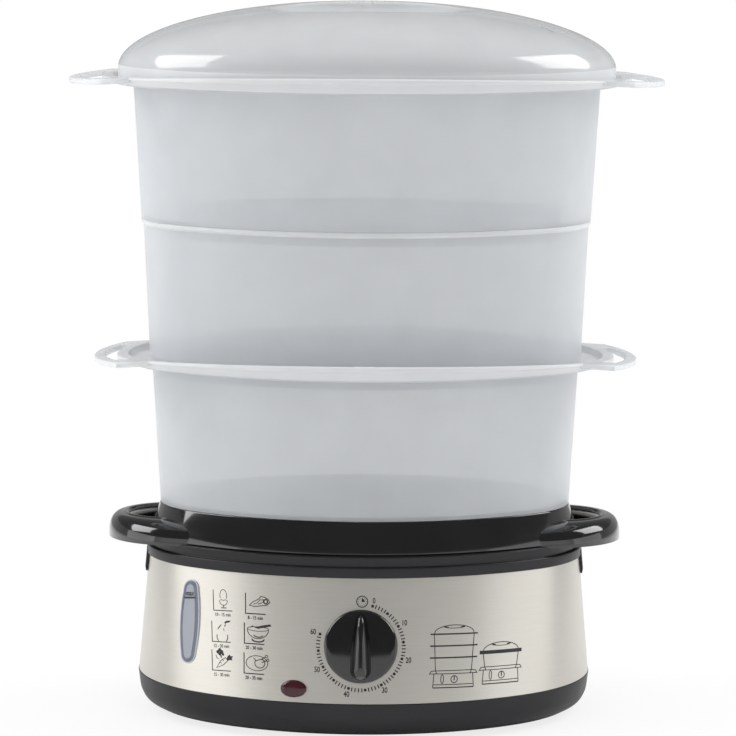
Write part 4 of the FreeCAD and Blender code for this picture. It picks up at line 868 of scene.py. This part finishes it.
def basket(name, foot, foot_z, top, top_z, mouth, gutter=None, reach=None):
    """Wall with a skirt that drops into the mouth below; one with a gutter has a rim and lugs."""
    skirt, low = mouth - SKIRT_GAP, foot_z - SKIRT_DEPTH
    outline = [
        (skirt - 2.6, low, 0.5), (skirt - 0.8, low, 0.5), (skirt, foot_z), (foot, foot_z, 0.5),
    ]
    if gutter:
        crest, lip, shelf = top_z + RIM_CREST, gutter + RIM_LIP, top_z + BASKET_WALL
        outline += [
            (top, top_z, 1.2), (gutter, top_z, 2), (gutter + 1.3, crest - 3.2, 0.6),
            (lip, crest - 3, 0.9), (lip, crest, 1.2), (gutter - 0.3, crest, 0.9),
            (gutter - BASKET_WALL, shelf, 1.2), (top - BASKET_WALL, shelf, 1),
        ]
    else:
        outline += [
            (top - 0.2, top_z - 3, 0.5), (top + 1, top_z - 2, 0.5), (top + 1, top_z, 0.6),
            (top - BASKET_WALL, top_z, 0.6),
        ]
    outline += [(foot - BASKET_WALL, foot_z + BASKET_WALL, 0.6), (skirt - BASKET_WALL, foot_z + BASKET_WALL)]
    shape = crowned(lip, top_z) if gutter else None
    pieces = [sweep(name + "_wall", TRAY_RIM, soft(outline), shape)]
    if gutter:
        pieces += [lug(side, lip, reach, crest) for side in (-1, 1)]
    piece = dress(join(pieces, name + "_moulding"), name, name)
    start = top_z + (RIM_FROM if gutter else EDGE_FROM)
    # the rim faces take the denser rim plastic, lightened as painted light against the shade there
    frost(piece, lambda z: z > start)


basket("basket_lower", 116.1, 118, 120.7, 198, 113.8, 134.7, 152.9)
basket("basket_middle", 122, 199.8, 125.8, 279.5, 118.9)
basket("basket_upper", 126.8, 279.5, 131.3, 355.6, 124, 143, 166.7)


# ---- lid
LID_FOOT, LID_WALL = (139.9, 97.4), 1.8
LID_SEAT, LID_SHOULDER, LID_RISE = 357.4, 364.5, 37.5
LID_RINGS, LID_SPOKES = 110, 224
LID_RIM_TOP = 366  # the skirt below it is denser rim plastic, its lighter colour painted light
SCOOP_SIZE, SCOOP_PLACE, SCOOP_DEPTH, SCOOP_BLEND = (63, 20), 24, 9, 2
VENTS = [(99.5, -29.3, -32), (118.5, 1.5, 0), (100.5, 31, 33)]
VENT_SIZE, VENT_CUT = (3, 10), (366, 405)


def lid_height(x, y, inset):
    """Height of the dome with its two finger scoops, edges rounded over."""
    a, b = LID_FOOT[0] - inset, LID_FOOT[1] - inset
    flat = max(0, 1 - (x / a) ** 2 - (y / b) ** 2)
    height = LID_SHOULDER + (LID_RISE - inset) * sqrt(flat)
    top = LID_SHOULDER + LID_RISE
    reach_x, reach_y = SCOOP_SIZE[0] + inset, SCOOP_SIZE[1] + inset
    for side in (-1, 1):
        share = 1 - (x / reach_x) ** 2 - ((y - side * SCOOP_PLACE) / reach_y) ** 2
        if share > 0:
            gap = height - top + (SCOOP_DEPTH + inset) * sqrt(share)
            if gap > SCOOP_BLEND:
                height -= gap
            elif gap > -SCOOP_BLEND:
                height -= (gap + SCOOP_BLEND) ** 2 / (4 * SCOOP_BLEND)
    return height


def lid():
    rings, spokes = LID_RINGS, LID_SPOKES
    grid, verts, faces = {}, [], []
    for skin, inset in enumerate((0, LID_WALL)):
        a, b = LID_FOOT[0] - inset, LID_FOOT[1] - inset
        for r in range(-1, rings):
            share = cos(pi / 2 * max(r, 0) / rings)
            for s in range(spokes):
                turn = 2 * pi * s / spokes
                x, y = a * share * cos(turn), b * share * sin(turn)
                z = lid_height(x, y, inset) if r > 0 else LID_SEAT if r < 0 else LID_SHOULDER
                grid[skin, r, s] = len(verts)
                verts.append((x, y, z))
        grid[skin, "top"] = len(verts)
        verts.append((0, 0, lid_height(0, 0, inset)))
    for skin in (0, 1):
        for s in range(spokes):
            n = (s + 1) % spokes
            for r in range(-1, rings - 1):
                faces.append((grid[skin, r, s], grid[skin, r, n], grid[skin, r + 1, n], grid[skin, r + 1, s]))
            faces.append((grid[skin, rings - 1, s], grid[skin, rings - 1, n], grid[skin, "top"]))
    for s in range(spokes):
        n = (s + 1) % spokes
        faces.append((grid[0, -1, s], grid[0, -1, n], grid[1, -1, n], grid[1, -1, s]))
    dome = make("lid_moulding", verts, faces, 60)
    cutters = []
    for x, y, turn in VENTS:
        place = Matrix.Translation((x, y, 0)) @ Matrix.Rotation(radians(turn), 4, "Z")
        outline = [(b, a) for a, b in pill_outline(*VENT_SIZE)]
        cutters.append(prism(outline, *VENT_CUT, place))
    carve(dome, cutters, 60)
    dress(dome, "lid", "lid")
    # the skirt takes the denser rim plastic, lightened as painted light against the shade under the lid
    frost(dome, lambda z: z < LID_RIM_TOP)


lid()


# ---- prints on the steel
STEEL_LEAN, PRINT_STEP, PRINT_PASSES = 0.28, 1.5, 6


def on_steel(place, u, v, lift):
    """A point u along and v up from a place on the steel, lifted off it."""
    x, z = place
    origin = band_frame(x, z)
    height = z + v * origin.col[1].z
    phi = band_angle(x, height)
    radius = arc_at(band_oval(height), phi)[2]
    turn = phi + degrees(u / radius)
    point = oval_point(band_oval(height), turn, height)
    out = Vector((cos(radians(turn)), sin(radians(turn)), STEEL_LEAN)).normalized()
    return point + out * lift


class Print:
    """Collects flat shapes in local (u, v) millimetres and lays them on the steel."""

    def __init__(self, name, place, slant=0):
        self.name, self.place = name, place
        self.turn = radians(slant)
        self.verts, self.faces = [], []

    def add(self, points, faces):
        base = len(self.verts)
        self.verts += points
        self.faces += [tuple(base + i for i in face) for face in faces]

    def polygon(self, points):
        self.add(list(points), [tuple(range(len(points)))])

    def dot(self, u, v, radius, steps=20):
        self.polygon(shifted(circle_outline(radius, steps=steps), u, v))

    def arc(self, cu, cv, radius_u, radius_v, start, stop, steps, width, closed=False):
        """A stroke along part of an ellipse, between two angles in degrees."""
        turns = [radians(start + (stop - start) * k / steps) for k in range(steps + 1)]
        points = [(cu + radius_u * cos(t), cv + radius_v * sin(t)) for t in turns]
        self.line(points, width, closed)

    def line(self, points, width, closed=False):
        """A stroke of even width through the points."""
        points = [Vector(point) for point in points]
        count = len(points)
        left, right = [], []
        for i, here in enumerate(points):
            steps = [here - points[i - 1]] if i or closed else []
            if i < count - 1 or closed:
                steps.append(points[(i + 1) % count] - here)
            ways = [step.normalized() for step in steps if step.length]
            way = sum(ways, Vector((0, 0))).normalized()
            side = Vector((-way.y, way.x))
            stretch = 1 / max(0.5, side.dot(Vector((-ways[0].y, ways[0].x))))
            left.append(here + side * width / 2 * stretch)
            right.append(here - side * width / 2 * stretch)
        quads = [(i, i + 1, count + i + 1, count + i) for i in range(count - 1)]
        if closed:
            quads.append((count - 1, 0, count, 2 * count - 1))
        self.add([tuple(p) for p in left + right], quads)

    def text(self, words, u, v, size, squeeze=0.8, bold=0):
        curve = bpy.data.curves.new("words", "FONT")
        curve.offset = bold
        curve.body = words
        curve.size = size
        curve.align_x = curve.align_y = "CENTER"
        curve.resolution_u = 4
        obj = linked("words", curve)
        mesh = evaluated_mesh(obj)
        points = [(u + vertex.co.x * squeeze, v + vertex.co.y) for vertex in mesh.vertices]
        self.add(points, [tuple(p.vertices) for p in mesh.polygons])
        bpy.data.objects.remove(obj)

    def lay(self, lift=0.05, frame=None):
        """Builds the print as a thin layer on the steel, or flat in a frame of its own."""
        mesh = bpy.data.meshes.new(self.name)
        mesh.from_pydata([(u, v, 0) for u, v in self.verts], [], self.faces)
        work = bmesh.new()
        work.from_mesh(mesh)
        bmesh.ops.triangulate(work, faces=work.faces)
        for _ in range(PRINT_PASSES):
            long_edges = [edge for edge in work.edges if edge.calc_length() > PRINT_STEP]
            if not long_edges:
                break
            bmesh.ops.subdivide_edges(work, edges=long_edges, cuts=1)
            bmesh.ops.triangulate(work, faces=work.faces)
        cs, sn = cos(self.turn), sin(self.turn)
        for vertex in work.verts:
            u, v = vertex.co.x, vertex.co.y
            if frame:
                vertex.co = frame @ Vector((u, v, lift)) * MM
            else:
                vertex.co = on_steel(self.place, u * cs - v * sn, u * sn + v * cs, lift) * MM
        work.to_mesh(mesh)
        work.free()
        obj = linked(self.name, mesh)
        tidy(obj, 60)
        obj.data.materials.append(PRINT)
        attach(obj, "base")


DIAL_FIRST, DIAL_LAST, MINUTES = 15.6, 286.8, 60  # degrees clockwise from the top
DOT_REACH, DOT_RADIUS, TICK, TICK_WIDTH = 23.6, 0.85, (22.6, 24.8), 0.65
NUMBER_REACH, NUMBER_SIZE, NUMBER_SQUEEZE, NUMBER_BOLD, NUMBER_SHIFT = 26.6, 4.3, 0.74, 0.1, (0.8, 0.48)
CLOCK_PLACE, CLOCK_RADIUS, CLOCK_WIDTH = (0.6, 25.2), 3.04, 0.55
CLOCK_TICK, CLOCK_TICK_WIDTH = (1.9, 2.4), 0.3
CLOCK_HAND = [(-0.3, -0.3), (1.5, -0.1), (1.1, 1.1), (0.3, 1.7), (-0.25, 1.8)]


def around(turn, *reaches, centre=(0, 0)):
    """Points at some reaches from a centre along one direction."""
    return [(centre[0] + reach * cos(turn), centre[1] + reach * sin(turn)) for reach in reaches]


def dial_print():
    dial = Print("dial_print", KNOB_PLACE)
    for minute in range(MINUTES + 1):
        turn = radians(90 - DIAL_FIRST - (DIAL_LAST - DIAL_FIRST) * minute / MINUTES)
        if minute % 5 == 0:
            dial.dot(*around(turn, DOT_REACH)[0], DOT_RADIUS)
        else:
            dial.line(around(turn, *TICK), TICK_WIDTH)
        if minute % 10 == 0:
            reach = NUMBER_REACH if minute != MINUTES else NUMBER_REACH + 0.2
            across, up = NUMBER_SHIFT if minute else (0, 0)
            dial.text(str(minute), (reach + across) * cos(turn), (reach + up) * sin(turn),
                      NUMBER_SIZE, NUMBER_SQUEEZE, bold=NUMBER_BOLD)
    dial.arc(*CLOCK_PLACE, CLOCK_RADIUS, CLOCK_RADIUS, 0, 352.5, 47, CLOCK_WIDTH, closed=True)
    for k in range(12):
        dial.line(around(radians(30 * k), *CLOCK_TICK, centre=CLOCK_PLACE), CLOCK_TICK_WIDTH)
    dial.polygon(shifted(CLOCK_HAND, *CLOCK_PLACE))
    dial.lay()


FOOT_SHARE, DECK, TRAY, LOW = 0.86, 7.6, 9.3, 1.65
BASE_LINE, SHAPE_LINE, FINE_LINE, BAR_LINE, LOW_BAR = 0.62, 0.46, 0.44, 0.82, 2


def steamer_outline(name, place, half, bars, dome, bar_line):
    """Generic outline of a steamer on its base, (u, v) from the middle of the base line."""
    art = Print(name, place, slant=-1.4)
    foot, top = half * FOOT_SHARE, bars[-1]

    def level(reach, height, width):
        art.line([(-reach, height), (reach, height)], width)

    level(foot, 0, BASE_LINE)
    level(foot, LOW, FINE_LINE)
    for side in (-1, 1):
        root = (side * half * 0.7, DECK + 0.1)
        art.line([(side * foot, 0), (side * (foot - 0.6), DECK)], SHAPE_LINE)
        wall = (side * half * 0.76, TRAY)
        art.line([root, (side * half, DECK), (side * (half - 0.9), DECK + 1.5), wall, root], SHAPE_LINE)
        art.line([wall, (side * half * 0.84, top), (side * half * 0.82, top + 1)], SHAPE_LINE)
    level(foot - 1.4, DECK, FINE_LINE)
    level(foot - 1.2, TRAY, FINE_LINE)
    for height in bars:
        level(half, height, bar_line)
    start = top + 0.6
    art.arc(0, start, half * 0.83, dome, 4, 176, 32, SHAPE_LINE)
    crown = start + dome * 0.8
    art.arc(0, crown, half * 0.44, dome * 0.2, 180, 360, 18, 0.4)
    for side in (-1, 1):
        art.line([(side * half * 0.44, crown), (side * half * 0.26, crown - dome * 0.1)], 0.7)
    art.arc(-6.6, 4.7, 0.8, 2.4, 0, 345, 23, FINE_LINE, closed=True)
    art.arc(0.4, 4.5, 1.9, 1.9, 0, 345, 23, 0.48, closed=True)
    art.line([(0.4, 3.8), (0.4, 6.4)], 0.65)
    art.lay()


def egg(art):
    art.arc(6.6, 8.3, 2.2, 3.2, -30, 210, 26, 0.36)
    art.arc(6.6, 5.4, 2.5, 2.5, 178, 362, 20, 0.36)
    art.line([(4.1, 5.5), (5.2, 6), (6.6, 5.6), (8, 6), (9.1, 5.5)], 0.34)
    art.line([(6.6, 2.9), (6.6, 1.9)], 0.5)
    art.line([(4.9, 1.5), (8.3, 1.5)], 0.55)


def leaf(art):
    art.arc(7.2, 3, 3.9, 3.9, 165, 222, 12, 0.5)
    art.arc(6.4, 3, 3.9, 3.9, -42, 15, 12, 0.5)
    art.polygon([(3.4, 6.6), (4.6, 7.2), (6.2, 9), (6.7, 9.9), (5.2, 8.8)])
    art.polygon([(7.4, 7.6), (8, 7.2), (8.3, 5.8), (7.8, 6.3)])
    art.polygon([(8.2, 10.6), (9.6, 11.7), (12.6, 11.9), (11.6, 10.9), (9.9, 10.6), (9.2, 10)])
    art.polygon([(8.2, 8.6), (8.8, 9.8), (9.3, 9.5), (8.8, 8.4)])


def carrot(art):
    art.line([(2.9, 1.5), (5.6, 5.4), (8.9, 7.2), (10.3, 5.6), (7.4, 3.2)], 0.4, closed=True)
    art.line([(5.2, 4.4), (6.4, 4)], 0.34)
    art.line([(7, 5.8), (7.7, 5.2)], 0.34)
    art.polygon([(9.6, 6.3), (10.2, 8), (11.6, 9), (12.2, 8.2), (13.9, 8), (12.8, 6.9), (13.4, 5.9),
                 (11.6, 6), (10.4, 5.6)])
    for u, v, size in ((4, 10.2, 1), (5.3, 11.3, 1), (6.5, 10.2, 1.1), (5.2, 9.2, 1),
                       (7.3, 8.9, 0.8)):
        art.dot(u, v, size, 14)
    art.line([(5.6, 9), (6.3, 7)], 0.8)
    art.line([(2.6, 8.6), (3.2, 6.8), (4.6, 6.4)], 0.34)


def fillet(art):
    art.line([(2.3, 4.6), (4.6, 6.6), (8, 8.2), (9.4, 9.8), (11.6, 9.4), (13.6, 8.4), (14.6, 6.6),
              (12.8, 5), (9.4, 4.6), (5.4, 4)], 0.46, closed=True)
    art.line([(4.8, 5.2), (7, 6), (8.8, 7.8), (11, 8), (10.4, 6.4), (7.6, 5.4)], 0.4)
    art.arc(12.2, 7, 1.1, 1.2, 0, 345, 20, 0.72, closed=True)


def bowl(art):
    art.arc(8.2, 8.2, 6.4, 5.2, 182, 358, 30, 0.46)
    art.arc(8.2, 8.3, 6.4, 1.2, 0, 345, 30, 0.36, closed=True)
    art.arc(8.3, 2.6, 3.6, 1.4, 172, 368, 24, 0.8)
    art.arc(8.6, 6.4, 3.6, 2.6, 215, 320, 14, 0.6)
    art.polygon([(6, 9), (11, 10.4), (15.6, 11.2), (16.4, 10.2), (12.6, 9.3), (8.4, 8.4)])
    art.line([(3.6, 8.9), (5, 9.8), (6.6, 9.3)], 0.4)


def roast(art):
    art.arc(7.8, 5.9, 6.5, 4.1, 0, 352, 44, 0.4, closed=True)
    art.arc(9.6, 6, 3, 2.6, 150, 420, 26, 0.48)
    art.line([(5.8, 8.8), (7.4, 7.2), (10.2, 8.2), (12.4, 7.6)], 0.44)
    for u, v in ((13.2, 9.8), (14, 7.8)):
        art.line([(10.8, v - 1.4), (u, v)], 0.5)
        art.arc(u + 0.4, v + 0.1, 0.7, 0.7, 0, 330, 12, 0.4, closed=True)


# slant, frame line, boldness of the words; then symbol, cooking time, x and height of the corner
FOOD_COLUMNS = [
    (3, 0.5, 0.05, [(egg, "10 - 15 min", (-83.4, 66.9)), (leaf, "12 - 20 min", (-84, 50.1)),
                       (carrot, "15 - 30 min", (-83.7, 34.8))]),
    (1, 0.62, 0.08, [(fillet, "8 - 15 min", (-65.4, 67.1)), (bowl, "20 - 30 min", (-65.9, 51.1)),
                       (roast, "20 - 35 min", (-65.9, 35.2))]),
]
FOOD_FRAME = [(0, 11.3), (0, 0), (12.1, 0)]


def food_table():
    """Two columns of three cooking times with generic symbols, each in an open frame."""
    for slant, width, bold, cells in FOOD_COLUMNS:
        for symbol, words, place in cells:
            art = Print("symbol_" + symbol.__name__, place, slant)
            art.line(FOOD_FRAME, width)
            symbol(art)
            art.text(words, 5.9, -2.3, 2.6, 0.86, bold)
            art.lay()


def window_mark():
    """The plain mark on the window's face, in the window's own frame."""
    mark = Print("window_mark", WINDOW_PLACE)
    mark.line([(-3.9, 13.2), (3.9, 13.2)], 0.95)
    mark.text("max", 0, 15.6, 4.2, 0.86, bold=0.06)
    mark.lay(lift=1.05, frame=WINDOW)


dial_print()
steamer_outline("outline_tall", (49.5, 29.6), 13.9, (16.4, 22.9, 29.4), 4.3, BAR_LINE)
steamer_outline("outline_low", (75.9, 29.8), 13.6, (17.3,), 4.6, LOW_BAR)
food_table()
window_mark()


# ---- room, light and camera
FLOOR_HALF, FLOOR_GREY, FLOOR_ROUGHNESS, FLOOR_SPECULAR = 6, 0.86, 0.9, 0.1
FLOOR_GLOW, GLOW_REACH = (0.8, 1), (0.22, 0.45)  # share of plain white, near and far; metres
SKY_LIGHT, FRONT_GLOSS, SIDE_GLOSS, CEILING_GLOSS = 0.8, 0.98, 0.35, 0.16
SIDE_BAND, CEILING_BAND = (-0.8, -0.45), (0.336, 0.35)  # y and z of a direction


def scalar(tree, operation, *values):
    """One value from two, by a maths node."""
    made = node(tree, "Math", *values)
    made.operation = operation
    return made.outputs[0]


def room():
    """A white floor that shows as plain white to the camera, apart from part of the shadow."""
    mesh = bpy.data.meshes.new("floor")
    corners = [(x * FLOOR_HALF, y * FLOOR_HALF, 0) for x, y in ((-1, -1), (1, -1), (1, 1), (-1, 1))]
    mesh.from_pydata(corners, [], [(0, 1, 2, 3)])
    floor = linked("floor", mesh)
    material, tree, shader = nodes_of("white_floor")
    feed(tree, shader, Base_Color=(*grey(FLOOR_GREY), 1), Roughness=FLOOR_ROUGHNESS,
         Specular_IOR_Level=FLOOR_SPECULAR)
    glow = node(tree, "Emission", (*grey(1), 1))
    direct = node(tree, "LightPath").outputs["Is Camera Ray"]
    flat = node(tree, "VectorMath", node(tree, "TexCoord").outputs["Object"])
    flat.operation = "LENGTH"
    share = ranged(tree, flat.outputs["Value"], *FLOOR_GLOW, *GLOW_REACH)
    mix = node(tree, "MixShader", scalar(tree, "MULTIPLY", direct, share), shader.outputs[0], glow.outputs[0])
    feed(tree, tree.nodes["Material Output"], mix.outputs[0])
    mesh.materials.append(material)


def world():
    """Plain grey light; glossy surfaces see a bright front, darker sides and rear and a dark ceiling."""
    sky = bpy.data.worlds.new("studio")
    bpy.context.scene.world = sky
    sky.use_nodes = True
    tree = sky.node_tree
    path = node(tree, "LightPath")
    split = node(tree, "SeparateXYZ", node(tree, "TexCoord").outputs["Generated"])

    def mixed(factor, *shades):
        shades = [(*grey(shade), 1) if isinstance(shade, (int, float)) else shade for shade in shades]
        return node(tree, "MixRGB", factor, *shades).outputs["Color"]

    beside = ranged(tree, split.outputs["Y"], 0, 1, *SIDE_BAND)
    above = ranged(tree, split.outputs["Z"], 0, 1, *CEILING_BAND)
    glossy = mixed(above, mixed(beside, FRONT_GLOSS, SIDE_GLOSS), CEILING_GLOSS)
    plain = mixed(path.outputs["Is Glossy Ray"], SKY_LIGHT, glossy)
    seen = scalar(tree, "MAXIMUM", path.outputs["Is Camera Ray"], path.outputs["Is Transmission Ray"])
    feed(tree, tree.nodes["Background"], mixed(seen, plain, 1), 1)


# name, place and target in metres, size, power, direction of the width
SOFTBOXES = [
    ("left_box", (-1.54, -0.44, 0.33), (0, 0, 0.2), (1.33, 0.62), 3.2),
    ("right_box", (1.54, -0.44, 0.33), (0, 0, 0.2), (1.33, 0.62), 2.3),
    ("left_high", (-1.3, -0.01, 1.25), (-0.1, -0.06, 0.37), (0.85, 1.05), 13, (0.38, -0.8, 0.45)),
    ("right_high", (1.27, 0.22, 1.25), (0.1, -0.06, 0.37), (0.92, 0.96), 13, (0.16, 0.92, -0.36)),
]


def softbox(name, place, target, size, power, along=None):
    """Area lamp aimed at a point; along is the direction of its width."""
    light = bpy.data.lights.new(name, "AREA")
    light.shape = "RECTANGLE"
    light.size, light.size_y = size
    light.energy = power
    lamp = linked(name, light)
    aim = (Vector(target) - Vector(place)).normalized()
    if along:
        width = Vector(along)
        width = (width - width.dot(aim) * aim).normalized()
        lamp.matrix_world = Matrix((width, width.cross(aim), -aim)).transposed().to_4x4()
    else:
        lamp.rotation_euler = aim.to_track_quat("-Z", "Y").to_euler()
    lamp.location = place


CAMERA_PLACE = (0.0015, -2.4, 0.5135)  # metres
CAMERA_PITCH, CAMERA_ROLL = 7.58, 0.35  # degrees down and sideways
PIXEL_MM, PIXELS, SENSOR_MM, CLIP_END = 0.5625, 736, 36, 50


def camera():
    """The viewing angle; at the object's distance one pixel covers PIXEL_MM."""
    data = bpy.data.cameras.new("camera")
    data.sensor_width = SENSOR_MM
    data.lens = -CAMERA_PLACE[1] / MM / PIXEL_MM * SENSOR_MM / PIXELS
    data.clip_end = CLIP_END
    cam = linked("camera", data)
    pitch, roll = radians(CAMERA_PITCH), radians(CAMERA_ROLL)
    turn = Matrix.Rotation(pi / 2 - pitch, 4, "X") @ Matrix.Rotation(roll, 4, "Z")
    cam.matrix_world = Matrix.Translation(CAMERA_PLACE) @ turn
    bpy.context.scene.camera = cam


room()
world()
for box in SOFTBOXES:
    softbox(*box)
camera()
bpy.context.scene.view_settings.view_transform = "Standard"
bpy.context.scene.cycles.transparent_max_bounces = 32
